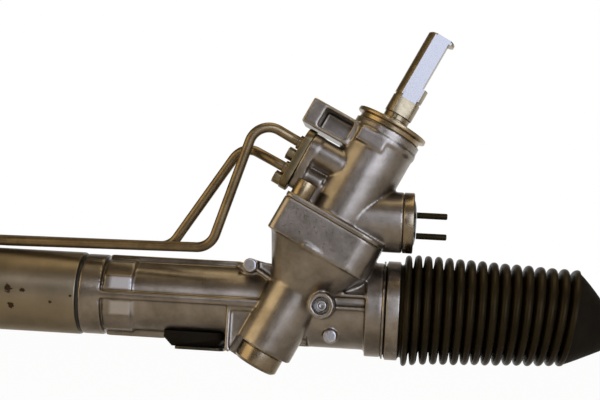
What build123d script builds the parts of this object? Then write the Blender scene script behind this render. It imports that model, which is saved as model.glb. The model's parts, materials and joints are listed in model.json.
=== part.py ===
from build123d import *
import os
from math import acos, cos, pi, radians, sin, sqrt, tan

# Hydraulic steering rack with a rotary valve, millimetres.
# X runs along the rack to the right, Y away from the viewer, Z up.
# The origin is on the rack's axis, where the pinion's line crosses it in front view.
# Tower sketches use local x = n (across the tower), y = Y, z = t (up the tower).

os.makedirs("parts", exist_ok=True)

# Fits
running_gap = 0.05
seat_gap = 0.05
soft_gap = 0.3
stop_gap = 1.2

# Gear mesh
tower_tilt = 26.9
gear_module = 2.0
pinion_teeth = 8
profile_shift = 0.55
pressure_angle = 20.0
pinion_addendum = 0.85
pinion_dedendum = 1.25
backlash = 0.12
pinion_face_half = 14.0
rack_bar_r = 13.0
rack_tooth_plane = 9.5
rack_addendum = 1.0
rack_dedendum = 1.25
rack_travel = 70.0
spare_spaces = 2

# Housing, along the rack
seam_x = -125.4
collar_length = 12.9
collar_r = 24.3
groove_width = 1.5
band_length = 17.0
band_r = 23.2
band_sides = 12
case_r = 21.0
case_bore_r = 15.0
rib_reach = 24.5
rib_thickness = 8.0
rib_end_x = -30.6
front_rib_half = 2.2
front_rib_reach = 24.6
right_case_r = 24.4
right_case_start = 12.0
right_collar_length = 9.3
right_collar_r = 28.2
right_stop_x = 54.8
spigot_r = 26.0
spigot_length = 11.5
spigot_bore_r = 19.6

# Power cylinder
tube_r = 25.0
tube_wall = 2.5
tube_end_x = -397.0
seam_ring_width = 1.8
tube_spigot_length = 15.0
inner_seal_x = -207.0
spacer_wall = 5.0
seal_length = 12.0
piston_x = -292.0
piston_length = 20.0
end_bush_length = 16.0
end_flange_length = 6.0
end_flange_r = 27.5

# Tower
tower_r = 17.4
tower_foot_t = -30.0
bearing_r = 14.5
bearing_length = 9.0
lower_bearing_t = -27.5
upper_bearing_t = 18.6
upper_bearing_length = 12.0
pinion_bore_r = 12.6
cap_r = 13.5
cap_length = 11.0
flange_foot_t = 34.0
joint_t = 55.0
valve_flange = 3.0
valve_r = 20.8
valve_bore_r = 17.1
head_bore_r = 14.05
head_clearance = 4.0
top_clearance = 2.0
seal_clearance = 0.5
cover_rise = 3.3
step_ring_r = 21.4
step_ring_drop = 8.5
step_ring_width = 3.0
head_pad_n = -5.0
head_pad_drop = 14.5
head_pad_width = 17.4
head_pad_height = 9.0
head_pad_depth = 5.0
cover_r = 22.3
cover_thickness = 2.3
flange_ear_r = 10.0
flange_lobe_r = 9.0
flange_left = -32.0
flange_right = 32.0
flange_left_r = 5.0
flange_right_r = 14.0
flange_ear_spot = (-24.0, 18.0)
flange_lobe_spot = (10.0, 26.0)
front_screw_spot = (-24.5, -20.0)
funnel_start_t = 10.0
funnel_width = 61.0
funnel_depth = 44.0
funnel_corner_r = 16.0
funnel_y = -4.0
flange_front = 27.0
screw_head_r = 6.0
screw_head_height = 9.5
screw_r = 3.3
screw_depth = 16.0
screw_play = 0.2

# Pinion, valve and input shaft
lower_journal_r = 6.45
upper_journal_r = 11.1
upper_journal_t = 17.0
pinion_head_r = 16.2
pinion_head_t = 39.5
sleeve_t = 44.0
sleeve_r = 16.6
rotor_r = 12.0
rotor_tail_r = 8.9
rotor_tail_t = 33.0
shaft_r = 8.7
journal_r = 9.0
journal_rise = 0.4
shaft_top_t = 183.5
flat_start_t = 142.0
flat_half_width = 6.0
# Groove round the shaft at the foot of the flat, above the plain round stretch
shaft_groove_r = 8.1
shaft_groove_width = 1.5
flat_turn = 9.0
notch_start_t = 155.0
notch_end_t = 181.0
notch_n = 5.3
bar_end_r = 3.1
bar_waist_r = 2.4
bar_foot_t = 19.0
bar_top_t = 175.0

# Solenoid boss and pipe boss
boss_r = 18.0
boss_z = 52.2
boss_start_x = 25.0
boss_face_x = 65.0
boss_front_x = 71.3
coil_r = 15.0
coil_start_x = 56.5
plunger_r = 5.0
plunger_x = 50.5
lead_r = 1.85
lead_length = 18.0
lead_z = (57.0, 44.8)
pipe_r = 3.0
pipe_plate_n = -40.2
pipe_plate_thickness = 5.0
pipe_boss_y = -8.6
pipe_t = (86.5, 69.3)
pipe_level_z = 29.2
pipe_low_z = 31.2

pipe_boss_r = 9.3
pipe_boss_n = -12.0
pipe_lobe_t = 71.0
pipe_lobe_r = 6.0
pipe_lobe_n = -18.0
pipe_foot_length = 12.0
pipe_foot_width = 10.0
collar_foot_t = 66.5
pipe_collar_r = 9.7
pipe_collar_n = -29.5

# Lug with a pocket, on the left of the head
lug_left_n = -47.0
lug_right_n = -17.0
lug_low_t = 98.0
lug_height = 16.0
lug_front = 14.0
lug_depth = 26.0
pocket_left_n = -37.5
pocket_right_n = -19.0
pocket_low_t = 100.2
pocket_height = 11.8
pocket_depth = 18.0

# Hose ports at the back of the tower, as n and t
hose_boss_r = 11.0
hose_boss_start = 10.0
hose_face = 34.0
hose_bore_depth = 13.0
pressure_spot = (-7.0, 71.0)
pressure_bore_r = 7.0
return_spot = (4.0, 98.0)
return_bore_r = 8.0

# Details of the casting's front, as X and Z or as distances in front of the rack
front_pad_r = 4.2
front_pad_reach = 24.0
left_pad_spot = (-23.7, 22.1)
right_pad_spot = (25.6, -17.0)
breather_spot = (20.4, 0.7)
breather_boss_r = 7.5
breather_bore_r = 4.9
breather_reach = 42.0
breather_depth = 12.0
web_corners = ((-33, 21.5), (-24, 26.3), (-16, 24.5), (-5, 23), (-5, 10), (-20, 12))
web_reach = 13.0
web_rib_reach = 23.0
web_rib_spot = (-12.7, 15.4)
web_rib_length = 15.0
web_rib_turn = -31.3
gusset_corners = ((-36, -2.5), (-36, -28), (-27, -35), (-12, -24), (-12, -2.5))
gusset_reach = 23.0
gusset_rim = 2.2
gusset_rim_height = 1.6
side_rib_z = 7.5
side_rib_half = 1.0
side_rib_reach = 26.6
side_web_corners = ((20, 8), (43.5, 20), (45.4, 17), (27, 4))
side_web_reach = 22.0

# Mounts at the back
lug_r = 13.0
lug_y = 38.0
lug_half_height = 19.0
lug_bore_r = 6.1
left_lug_x = -57.0
right_lug_x = 32.0
pad_left_x = -75.0
pad_right_x = -38.5
pad_bottom_z = -28.4
pad_plate_thickness = 1.6

# Yoke
yoke_r = 16.0
yoke_boss_r = 21.0
yoke_boss_y = 44.0
yoke_bore_y = 4.0
yoke_length = 22.0
adjuster_hex_r = 7.0
adjuster_hex_depth = 8.0

# Bellows and tie rods, measured from each stop face outwards
socket_r = 18.0
ball_r = 12.0
ball_station = 95.2
seat_wall = 1.4
rod_droop = 6.0
rod_r = 7.0
rod_neck_r = 5.5
rod_length = 250.0
mouth_r = 28.4
mouth_start = 2.0
mouth_step_r = 27.7
mouth_step_length = 1.6
mouth_length = 11.5
first_crest = 14.6
last_crest = 111.0
crest_count = 17
first_crest_r = 33.0
last_crest_r = 28.8
fold_depth = 6.0
bellows_wall = 1.6
neck_station = 136.0
neck_r = 9.3
neck_length = 12.0
cone_start = 1.5
clamp_thickness = 1.2
clamp_ear_height = 4.7
clamp_ear_length = 7.0
clamp_station = 2.8
clamp_width = 7.8
mouth_reach = 7.0
stud_r = 7.0
stud_length = 14.0
wrench_depth = 2.0
wrench_length = 9.0
rod_neck_length = 20.0
hex_to_end = 75.0
hex_length = 12.0
rod_thread_r = 6.9
jam_nut_to_end = 45.0
jam_nut_length = 11.0
jam_nut_r = 12.7
undercut_width = 1.5
undercut_r = 6.2

# Smaller pieces
port_right_x = -198.0
port_left_x = -364.0
port_length = 20.0
port_width = 14.0
port_depth = 12.0
port_drill_r = 2.0
pipe_end_y = (-9.0, 8.0)
pipe_bend_r = 12.0
pipe_straight = 7.0
strap_pass_z = 42.0
front_pipe_bends = (33.6, -31.0, -48.0, -22.0)
rear_pipe_bends = (35.4, -17.0, -74.0, -9.0)
union_r = 5.2
union_length = 9.0
plate_foot_t = 57.5
plate_top_t = 97.0
plate_half_width = 7.6
clamp_bolt_t = (77.9, 62.0)
clamp_bolt_r = 2.5
clamp_head_r = 3.8
clamp_head_height = 5.0
outer_seal_r = 18.0
outer_seal_length = 8.0
rack_bush_r = 17.0
rack_bush_length = 16.0
piston_r = 22.2
piston_ring_width = 3.0
piston_groove = 1.4
thread_r = 5.0
nut_length = 4.5
pinion_nut_r = 8.0
inner_race_r = 8.6
outer_race_r = 12.4
race_ball_r = 2.4
ball_count = 7
cap_bore_r = 8.6
needle_r = 0.95
needle_count = 12
pinion_seal_length = 6.0
sleeve_length = 50.0
ring_count = 4
ring_width = 2.4
ring_depth = 1.0
input_bearing_length = 10.0
input_seal_length = 8.0
cover_hub_r = 19.5
yoke_front_y = 6.0
yoke_pocket_r = 6.0
yoke_pocket_depth = 10.2
spring_wire_r = 0.9
spring_pitch = 2.9
spring_turns = 3
spring_coil_r = 4.4
lock_nut_length = 5.0
lock_nut_r = 22.0
nipple_r = 3.0
nipple_base = 1.5
nipple_length = 10.4
grommet_r = 14.2
grommet_proud = 1.6
pad_front_y = -12.0
pad_back_y = 52.0
bush_x = -324.0
bush_width = 26.0
bush_wall = 6.0
strap_thickness = 2.5
strap_foot_z = -30.0
strap_reach = 58.0
strap_hole_y = 46.0
strap_hole_r = 4.6

# Sizes that follow
head_t = sleeve_t + sleeve_length + head_clearance
valve_top_t = head_t + input_bearing_length + seal_clearance + input_seal_length + top_clearance
cover_t = valve_top_t + cover_rise
journal_end_t = cover_t + cover_thickness + journal_rise
tilt = radians(tower_tilt)
pitch_r = gear_module * pinion_teeth / 2
shift = gear_module * profile_shift
tip_r = pitch_r + gear_module * (pinion_addendum + profile_shift)
root_r = pitch_r - gear_module * (pinion_dedendum - profile_shift)
base_r = pitch_r * cos(radians(pressure_angle))
reference_line = pitch_r + shift
rack_tip_line = reference_line - gear_module * rack_addendum
rack_root_line = reference_line + gear_module * rack_dedendum
pinion_y = -(rack_tooth_plane + rack_tip_line)
rack_pitch_x = pi * gear_module / cos(tilt)
band_start = seam_x + collar_length + groove_width
rib_left_x = seam_x + collar_length
rib_right_x = right_stop_x - right_collar_length
left_stop_x = tube_end_x - end_flange_length
right_socket_x = right_stop_x + rack_travel + stop_gap
left_socket_x = left_stop_x - rack_travel - stop_gap
tube_bore_r = tube_r - tube_wall
tube_start_x = seam_x - seam_ring_width
droop = radians(rod_droop)
hex_start = rod_length - hex_to_end
jam_nut_start = rod_length - jam_nut_to_end

tower = Plane(origin=(0, pinion_y, 0), x_dir=(cos(tilt), 0, -sin(tilt)), z_dir=(sin(tilt), 0, cos(tilt)))
tower_side = Plane(origin=(0, pinion_y, 0), x_dir=(cos(tilt), 0, -sin(tilt)), z_dir=(0, -1, 0))
pipe_side = Plane(origin=(0, pinion_y, 0), x_dir=(sin(tilt), 0, cos(tilt)), z_dir=(-cos(tilt), 0, sin(tilt)))
tower_axis = Axis((0, pinion_y, 0), (sin(tilt), 0, cos(tilt)))
boss_plane = Plane(origin=(0, pinion_y, boss_z), x_dir=(0, 1, 0), z_dir=(1, 0, 0))


def at_tower(n, y, t):
    """Point of the tower's own frame as X, Y, Z."""
    return tower.from_local_coords(Vector(n, y, t))


def ring(inner_r, outer_r, start, length):
    """Ring about the rack's axis, from start over length."""
    with BuildSketch(Plane.YZ.offset(start)) as profile:
        Circle(outer_r)
        Circle(inner_r, mode=Mode.SUBTRACT)
    extrude(profile.sketch, amount=length)


def tower_ring(inner_r, outer_r, start, length):
    """Ring about the tower's axis, from start over length."""
    with BuildSketch(tower.offset(start)) as profile:
        Circle(outer_r)
        Circle(inner_r, mode=Mode.SUBTRACT)
    extrude(profile.sketch, amount=length)


def rod_x(radius, start, end, mode=Mode.ADD):
    """Round bar along the rack's axis."""
    with BuildSketch(Plane.YZ.offset(start)) as profile:
        Circle(radius)
    extrude(profile.sketch, amount=end - start, mode=mode)


def rod_t(radius, start, end, mode=Mode.ADD):
    """Round bar along the tower's axis."""
    with BuildSketch(tower.offset(start)) as profile:
        Circle(radius)
    extrude(profile.sketch, amount=end - start, mode=mode)


def rod_b(radius, start, end, mode=Mode.ADD):
    """Round bar along the solenoid boss's axis."""
    with BuildSketch(boss_plane.offset(start)) as profile:
        Circle(radius)
    extrude(profile.sketch, amount=end - start, mode=mode)


def flange_plan():
    """Outline of the joint between gear housing and valve body."""
    with Locations((flange_left + flange_left_r, flange_left_r - flange_front)):
        Circle(flange_left_r)
    with Locations((flange_right - flange_right_r, flange_right_r - flange_front)):
        Circle(flange_right_r)
    with Locations(flange_ear_spot):
        Circle(flange_ear_r)
    with Locations(flange_lobe_spot, (flange_right - flange_lobe_r, flange_ear_r)):
        Circle(flange_lobe_r)
    make_hull()


screw_spots = (front_screw_spot, flange_ear_spot, flange_lobe_spot)

# Gear housing: case, tower and flange
with BuildPart() as gear_housing:
    rod_x(case_r, band_start, right_case_start)
    rod_x(collar_r, seam_x, seam_x + collar_length)
    rod_x(tube_bore_r - seat_gap, seam_x - tube_spigot_length, seam_x)
    rod_x(case_r, seam_x + collar_length, band_start)
    with BuildSketch(Plane.YZ.offset(band_start)):
        RegularPolygon(band_r, band_sides)
    extrude(amount=band_length)
    rod_x(right_case_r, right_case_start, right_stop_x - right_collar_length)
    rod_x(right_collar_r, right_stop_x - right_collar_length, right_stop_x)
    rod_x(spigot_r, right_stop_x, right_stop_x + spigot_length)
    rod_x(mouth_step_r, right_stop_x, right_stop_x + mouth_step_length)
    # Flat ribs in the parting plane, with a gap at the bottom for the rubber pad
    with BuildSketch(Plane.XZ):
        with Locations(((band_start + rib_end_x) / 2, rib_reach / 2)):
            Rectangle(rib_end_x - band_start, rib_reach)
        with Locations(((band_start + pad_left_x) / 2, -rib_reach / 2)):
            Rectangle(pad_left_x - band_start, rib_reach)
        with Locations(((pad_right_x + right_case_start) / 2, -rib_reach / 2)):
            Rectangle(right_case_start - pad_right_x, rib_reach)
    extrude(amount=rib_thickness / 2, both=True)
    with BuildSketch(Plane.XY):
        with Locations(((rib_left_x + rib_right_x) / 2, -front_rib_reach / 2)):
            Rectangle(rib_right_x - rib_left_x, front_rib_reach)
    extrude(amount=front_rib_half, both=True)
    # Tower foot, widening body and flange
    rod_t(tower_r, tower_foot_t, flange_foot_t)
    with BuildSketch(tower.offset(funnel_start_t)):
        Circle(tower_r + 2 * seat_gap)
    with BuildSketch(tower.offset(flange_foot_t)):
        with Locations((0, funnel_y)):
            RectangleRounded(funnel_width, funnel_depth, funnel_corner_r)
    loft()
    with BuildSketch(tower.offset(flange_foot_t)):
        flange_plan()
    extrude(amount=joint_t - flange_foot_t)
    # Gusset between case and tower, with a raised rim
    with BuildSketch(Plane.XZ):
        with BuildLine():
            Polyline(*gusset_corners, close=True)
        make_face()
    extrude(amount=gusset_reach)
    with BuildSketch(Plane.XZ.offset(gusset_reach)):
        with BuildLine():
            Polyline(*gusset_corners, close=True)
        make_face()
        offset(amount=-gusset_rim, kind=Kind.INTERSECTION, mode=Mode.REPLACE)
    extrude(amount=-gusset_rim_height, mode=Mode.SUBTRACT)
    # Pads and breather boss at the front
    with BuildSketch(Plane.XZ):
        with Locations(left_pad_spot, right_pad_spot):
            Circle(front_pad_r)
    extrude(amount=front_pad_reach)
    with BuildSketch(Plane.XZ):
        with Locations(breather_spot):
            Circle(breather_boss_r)
    extrude(amount=breather_reach)
    # Web from the left pad to the tower, with a thin rib on it
    with BuildSketch(Plane.XZ):
        with BuildLine():
            Polyline(*web_corners, close=True)
        make_face()
    extrude(amount=web_reach)
    with BuildSketch(Plane.XZ):
        with Locations(Location((*web_rib_spot, 0), (0, 0, web_rib_turn))):
            Rectangle(web_rib_length, 2 * side_rib_half)
    extrude(amount=web_rib_reach)
    # Ribs and web from the breather boss to the right
    with BuildSketch(Plane.XY):
        with Locations(((breather_spot[0] + rib_right_x) / 2, -side_rib_reach / 2)):
            Rectangle(rib_right_x - breather_spot[0], side_rib_reach)
    extrude(amount=side_rib_half, both=True)
    with BuildSketch(Plane.XY.offset(side_rib_z)):
        with Locations(((breather_spot[0] + rib_right_x) / 2, -side_rib_reach / 2)):
            Rectangle(rib_right_x - breather_spot[0], side_rib_reach)
    extrude(amount=side_rib_half, both=True)
    with BuildSketch(Plane.XZ):
        with BuildLine():
            Polyline(*side_web_corners, close=True)
        make_face()
    extrude(amount=side_web_reach)
    # Yoke boss and mounting lugs at the back
    with BuildSketch(Plane.XZ):
        Circle(yoke_boss_r)
    extrude(amount=-yoke_boss_y)
    for lug_x in (left_lug_x, right_lug_x):
        with BuildSketch(Plane.XY.offset(-lug_half_height)):
            with Locations((lug_x, lug_y)):
                Circle(lug_r)
            with Locations((lug_x, lug_y / 2)):
                Rectangle(2 * lug_r, lug_y)
        extrude(amount=2 * lug_half_height)
    # Bores
    rod_x(case_bore_r, seam_x - tube_spigot_length, right_stop_x, mode=Mode.SUBTRACT)
    rod_x(rack_bush_r, right_stop_x - rack_bush_length, right_stop_x, mode=Mode.SUBTRACT)
    rod_x(spigot_bore_r, right_stop_x, right_stop_x + spigot_length, mode=Mode.SUBTRACT)
    rod_t(pinion_bore_r, tower_foot_t, joint_t, mode=Mode.SUBTRACT)
    rod_t(bearing_r + seat_gap, tower_foot_t, lower_bearing_t + bearing_length, mode=Mode.SUBTRACT)
    rod_t(tower_r, tower_foot_t - 2 * cap_length, tower_foot_t, mode=Mode.SUBTRACT)
    rod_t(bearing_r + seat_gap, upper_bearing_t, joint_t, mode=Mode.SUBTRACT)
    rod_t(valve_bore_r, pinion_head_t - soft_gap, joint_t, mode=Mode.SUBTRACT)
    with BuildSketch(Plane.XZ.offset(-yoke_bore_y)):
        Circle(yoke_r + running_gap)
    extrude(amount=yoke_bore_y - yoke_boss_y, mode=Mode.SUBTRACT)
    with BuildSketch(Plane.XZ.offset(breather_reach)):
        with Locations(breather_spot):
            Circle(breather_bore_r)
    extrude(amount=-breather_depth, mode=Mode.SUBTRACT)
    with BuildSketch(Plane.XY.offset(-lug_half_height)):
        with Locations((left_lug_x, lug_y), (right_lug_x, lug_y)):
            Circle(lug_bore_r)
    extrude(amount=2 * lug_half_height, mode=Mode.SUBTRACT)
    with BuildSketch(tower.offset(joint_t)):
        with Locations(*screw_spots):
            Circle(screw_r + seat_gap)
    extrude(amount=-(screw_depth + 1), mode=Mode.SUBTRACT)
gear_housing.part.label = "gear_housing"
export_step(gear_housing.part, "parts/gear_housing.step")

# Valve body: upper tower with the solenoid boss, the pipe boss and the hollow lug
with BuildPart() as valve_body:
    with BuildSketch(tower.offset(joint_t)):
        flange_plan()
    extrude(amount=valve_flange)
    rod_t(valve_r, joint_t, valve_top_t)
    tower_ring(valve_r - 2, step_ring_r, valve_top_t - step_ring_drop, step_ring_width)
    rod_b(boss_r, boss_start_x, boss_face_x)
    # The part of the boss that would reach into the housing's flange is cut away
    with BuildSketch(tower.offset(joint_t)):
        with Locations((flange_right + 2 * seat_gap, 0)):
            Rectangle(4 * valve_r, 4 * valve_r, align=(Align.MAX, Align.CENTER))
    extrude(amount=-joint_t, mode=Mode.SUBTRACT)
    # Pipe boss with a round neck, a lower lobe, a collar and a filled corner below it
    plate_start = -pipe_plate_n - pipe_plate_thickness
    for center_t, radius, start_n in (
        (pipe_t[0], pipe_boss_r, pipe_boss_n),
        (pipe_lobe_t, pipe_lobe_r, pipe_lobe_n),
    ):
        with BuildSketch(pipe_side.offset(-start_n)):
            with Locations((center_t, pipe_boss_y)):
                Circle(radius)
        extrude(amount=plate_start + start_n)
    with BuildSketch(pipe_side.offset(-pipe_collar_n)):
        with Locations((pipe_t[0], pipe_boss_y)):
            Circle(pipe_collar_r)
        with Locations((collar_foot_t, pipe_boss_y)):
            Circle(pipe_lobe_r)
        make_hull()
    extrude(amount=plate_start + pipe_collar_n)
    with BuildSketch(tower.offset(joint_t)):
        with Locations((pipe_boss_n, pipe_boss_y)):
            Rectangle(pipe_foot_length, pipe_foot_width, align=(Align.MAX, Align.CENTER))
    extrude(amount=pipe_lobe_t - joint_t)
    # Lug with a pocket that is open to the viewer
    with BuildSketch(tower_side.offset(lug_front)):
        with Locations((lug_left_n, lug_low_t)):
            Rectangle(lug_right_n - lug_left_n, lug_height, align=Align.MIN)
    extrude(amount=-lug_depth)
    with BuildSketch(tower_side.offset(lug_front)):
        with Locations((pocket_left_n, pocket_low_t)):
            Rectangle(pocket_right_n - pocket_left_n, pocket_height, align=Align.MIN)
    extrude(amount=-pocket_depth, mode=Mode.SUBTRACT)
    # Hose port bosses at the back
    with BuildSketch(tower_side.offset(-hose_boss_start)):
        with Locations(pressure_spot, return_spot):
            Circle(hose_boss_r)
    extrude(amount=hose_boss_start - hose_face)
    # Flat pad at the front of the head
    with BuildSketch(tower.offset(valve_top_t - head_pad_drop)):
        with Locations((head_pad_n, -(valve_r - 2))):
            Rectangle(head_pad_width, head_pad_depth)
    extrude(amount=head_pad_height)
    # Bores
    rod_t(valve_bore_r, joint_t, head_t, mode=Mode.SUBTRACT)
    rod_t(head_bore_r, head_t, valve_top_t, mode=Mode.SUBTRACT)
    rod_b(coil_r + seat_gap, coil_start_x, boss_face_x, mode=Mode.SUBTRACT)
    rod_b(plunger_r + seat_gap, plunger_x, coil_start_x, mode=Mode.SUBTRACT)
    with BuildSketch(tower_side.offset(-hose_face)):
        with Locations(pressure_spot):
            Circle(pressure_bore_r)
        with Locations(return_spot):
            Circle(return_bore_r)
    extrude(amount=hose_bore_depth, mode=Mode.SUBTRACT)
    with BuildSketch(tower.offset(joint_t)):
        with Locations(*screw_spots):
            Circle(screw_r + screw_play)
    extrude(amount=valve_flange, mode=Mode.SUBTRACT)
valve_body.part.label = "valve_body"
export_step(valve_body.part, "parts/valve_body.step")

# Screws that hold the valve body: socket heads and shanks
with BuildPart() as flange_screws:
    with BuildSketch(tower.offset(joint_t - screw_depth)):
        with Locations(*screw_spots):
            Circle(screw_r)
    extrude(amount=screw_depth + valve_flange + seat_gap)
    with BuildSketch(tower.offset(joint_t + valve_flange + seat_gap)):
        with Locations(*screw_spots):
            Circle(screw_head_r)
    extrude(amount=screw_head_height)
    with BuildSketch(tower.offset(joint_t + valve_flange + screw_head_height)):
        with Locations(*screw_spots):
            RegularPolygon(screw_r, 6)
    extrude(amount=screw_head_height / 2, both=True, mode=Mode.SUBTRACT)
flange_screws.part.label = "flange_screws"
export_step(flange_screws.part, "parts/flange_screws.step")

# Power cylinder: tube with two port blocks on top, and the ring in its joint
port_blocks = ((port_right_x, pipe_end_y[0]), (port_left_x, pipe_end_y[1]))
with BuildPart() as cylinder_tube:
    rod_x(tube_r, tube_end_x, tube_start_x)
    for port_x, port_y in port_blocks:
        with BuildSketch(Plane.XY.offset(tube_bore_r - 4)):
            with Locations((port_x - port_length / 2, port_y)):
                RectangleRounded(port_length, port_width, 2)
        extrude(amount=pipe_level_z + port_width / 2 - tube_bore_r + 4)
    rod_x(tube_bore_r, tube_end_x, tube_start_x, mode=Mode.SUBTRACT)
    for port_x, port_y in port_blocks:
        with BuildSketch(Plane.YZ.offset(port_x)):
            with Locations((port_y, pipe_level_z)):
                Circle(pipe_r + seat_gap)
        extrude(amount=-port_depth, mode=Mode.SUBTRACT)
        with BuildSketch(Plane.XY.offset(tube_bore_r - 5)):
            with Locations((port_x - port_depth, port_y)):
                Circle(port_drill_r)
        extrude(amount=pipe_level_z - tube_bore_r + 5, mode=Mode.SUBTRACT)
cylinder_tube.part.label = "cylinder_tube"
export_step(cylinder_tube.part, "parts/cylinder_tube.step")

with BuildPart() as seam_ring:
    ring(tube_bore_r, collar_r - 0.2, tube_start_x + seat_gap, seam_ring_width - 2 * seat_gap)
seam_ring.part.label = "seam_ring"
export_step(seam_ring.part, "parts/seam_ring.step")

with BuildPart() as cylinder_end_bush:
    rod_x(tube_bore_r - seat_gap, tube_end_x, tube_end_x + end_bush_length)
    rod_x(end_flange_r, left_stop_x, tube_end_x - seat_gap)
    rod_x(tube_bore_r - seat_gap, tube_end_x - seat_gap, tube_end_x)
    rod_x(spigot_r, left_stop_x - spigot_length, left_stop_x)
    rod_x(mouth_step_r, left_stop_x - mouth_step_length, left_stop_x)
    rod_x(rack_bar_r + running_gap, left_stop_x, tube_end_x + end_bush_length, mode=Mode.SUBTRACT)
    rod_x(spigot_bore_r, left_stop_x - spigot_length, left_stop_x, mode=Mode.SUBTRACT)
    seal_start = tube_end_x + end_bush_length - outer_seal_length
    rod_x(outer_seal_r + seat_gap, seal_start, tube_end_x + end_bush_length, mode=Mode.SUBTRACT)
cylinder_end_bush.part.label = "cylinder_end_bush"
export_step(cylinder_end_bush.part, "parts/cylinder_end_bush.step")

with BuildPart() as outer_rack_seal:
    ring(rack_bar_r + running_gap, outer_seal_r, seal_start + seat_gap, outer_seal_length - seat_gap)
outer_rack_seal.part.label = "outer_rack_seal"
export_step(outer_rack_seal.part, "parts/outer_rack_seal.step")

with BuildPart() as inner_rack_seal:
    ring(rack_bar_r + running_gap, tube_bore_r - seat_gap, inner_seal_x, seal_length)
inner_rack_seal.part.label = "inner_rack_seal"
export_step(inner_rack_seal.part, "parts/inner_rack_seal.step")

with BuildPart() as seal_spacer:
    spacer_start = inner_seal_x + seal_length + seat_gap
    spacer_end = seam_x - tube_spigot_length - seat_gap
    ring(tube_bore_r - spacer_wall, tube_bore_r - seat_gap, spacer_start, spacer_end - spacer_start)
seal_spacer.part.label = "seal_spacer"
export_step(seal_spacer.part, "parts/seal_spacer.step")

with BuildPart() as rack_bush:
    bush_start = right_stop_x - rack_bush_length
    bush_length = rack_bush_length - 2 * seat_gap
    ring(rack_bar_r + running_gap, rack_bush_r - seat_gap, bush_start + seat_gap, bush_length)
rack_bush.part.label = "rack_bush"
export_step(rack_bush.part, "parts/rack_bush.step")

# Rack bar with teeth cut along the tilted pinion, and the piston on it
pitch_n = pi * gear_module
side_spaces = int(rack_travel / rack_pitch_x) + spare_spaces
flank_slope = tan(radians(pressure_angle))


def space_half_width(depth):
    """Half the width of a rack tooth space at a distance from the pinion's axis."""
    return pitch_n / 4 + (reference_line - depth) * flank_slope


with BuildPart() as rack_bar:
    rod_x(rack_bar_r, left_socket_x, right_socket_x)
    with BuildSketch(Plane.XZ.offset(rack_tooth_plane)):
        Rectangle((2 * side_spaces + 2) * rack_pitch_x, 2 * rack_bar_r)
    extrude(amount=rack_bar_r, mode=Mode.SUBTRACT)
    root_half = space_half_width(rack_root_line)
    tip_half = space_half_width(rack_tip_line - 1)
    with BuildSketch(tower):
        with Locations(*[(k * pitch_n, 0) for k in range(-side_spaces, side_spaces + 1)]):
            Polygon(
                (-tip_half, rack_tip_line - 1),
                (tip_half, rack_tip_line - 1),
                (root_half, rack_root_line),
                (-root_half, rack_root_line),
                align=None,
            )
    extrude(amount=side_spaces * rack_pitch_x, both=True, mode=Mode.SUBTRACT)
    for end_x, inward in ((left_socket_x, 1), (right_socket_x, -1)):
        rod_x(stud_r + seat_gap, end_x, end_x + inward * (stud_length + 1), mode=Mode.SUBTRACT)
rack_bar.part.label = "rack_bar"
export_step(rack_bar.part, "parts/rack_bar.step")

with BuildPart() as piston:
    ring(rack_bar_r + seat_gap, piston_r, piston_x - piston_length / 2, piston_length)
    with BuildSketch(Plane.YZ.offset(piston_x - piston_ring_width / 2)):
        Circle(tube_bore_r)
        Circle(piston_r - piston_groove, mode=Mode.SUBTRACT)
    extrude(amount=piston_ring_width, mode=Mode.SUBTRACT)
piston.part.label = "piston"
export_step(piston.part, "parts/piston.step")

with BuildPart() as piston_ring:
    ring_start = piston_x - piston_ring_width / 2 + seat_gap
    ring_inner_r = piston_r - piston_groove + seat_gap
    ring(ring_inner_r, tube_bore_r - running_gap, ring_start, piston_ring_width - 2 * seat_gap)
piston_ring.part.label = "piston_ring"
export_step(piston_ring.part, "parts/piston_ring.step")


# Pinion: eight involute teeth, with the journals and the head that carries the valve sleeve
def involute(angle):
    """Involute function of an angle."""
    return tan(angle) - angle


def tooth_half_angle(radius):
    """Half the angle that a pinion tooth spans at a radius."""
    thickness = gear_module * (pi / 2 + 2 * profile_shift * flank_slope) - backlash
    at_pitch = thickness / (2 * pitch_r) + involute(radians(pressure_angle))
    return at_pitch - involute(acos(min(1, base_r / radius)))


def flank_point(radius, side):
    """Point of a tooth's flank on one side of the local Y axis."""
    angle = tooth_half_angle(max(radius, base_r))
    return (side * radius * sin(angle), radius * cos(angle))


flank_steps = 4
tip_roll = sqrt((tip_r / base_r) ** 2 - 1)
flank_radii = [base_r * sqrt(1 + (tip_roll * k / flank_steps) ** 2) for k in range(flank_steps + 1)]
with BuildSketch() as pinion_tooth:
    with BuildLine():
        Spline(*[flank_point(radius, -1) for radius in flank_radii])
        Spline(*[flank_point(radius, 1) for radius in flank_radii])
        Line(flank_point(tip_r, -1), flank_point(tip_r, 1))
        Line(flank_point(base_r, -1), flank_point(root_r - 1, -1))
        Line(flank_point(root_r - 1, -1), flank_point(root_r - 1, 1))
        Line(flank_point(root_r - 1, 1), flank_point(base_r, 1))
    make_face()

with BuildPart() as pinion_shaft:
    rod_t(thread_r, lower_bearing_t - nut_length - 2, lower_bearing_t)
    rod_t(lower_journal_r, lower_bearing_t, -pinion_face_half)
    with BuildSketch(tower.offset(-pinion_face_half)):
        Circle(root_r)
        with PolarLocations(0, pinion_teeth):
            add(pinion_tooth.sketch)
    extrude(amount=2 * pinion_face_half)
    rod_t(root_r, pinion_face_half, upper_journal_t)
    rod_t(upper_journal_r, upper_journal_t, pinion_head_t)
    rod_t(pinion_head_r, pinion_head_t, sleeve_t)
    rod_t(rotor_tail_r + running_gap, rotor_tail_t - 1, sleeve_t, mode=Mode.SUBTRACT)
    rod_t(bar_end_r + seat_gap, bar_foot_t - 1, rotor_tail_t, mode=Mode.SUBTRACT)
pinion_shaft.part.label = "pinion_shaft"
export_step(pinion_shaft.part, "parts/pinion_shaft.step")

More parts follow.
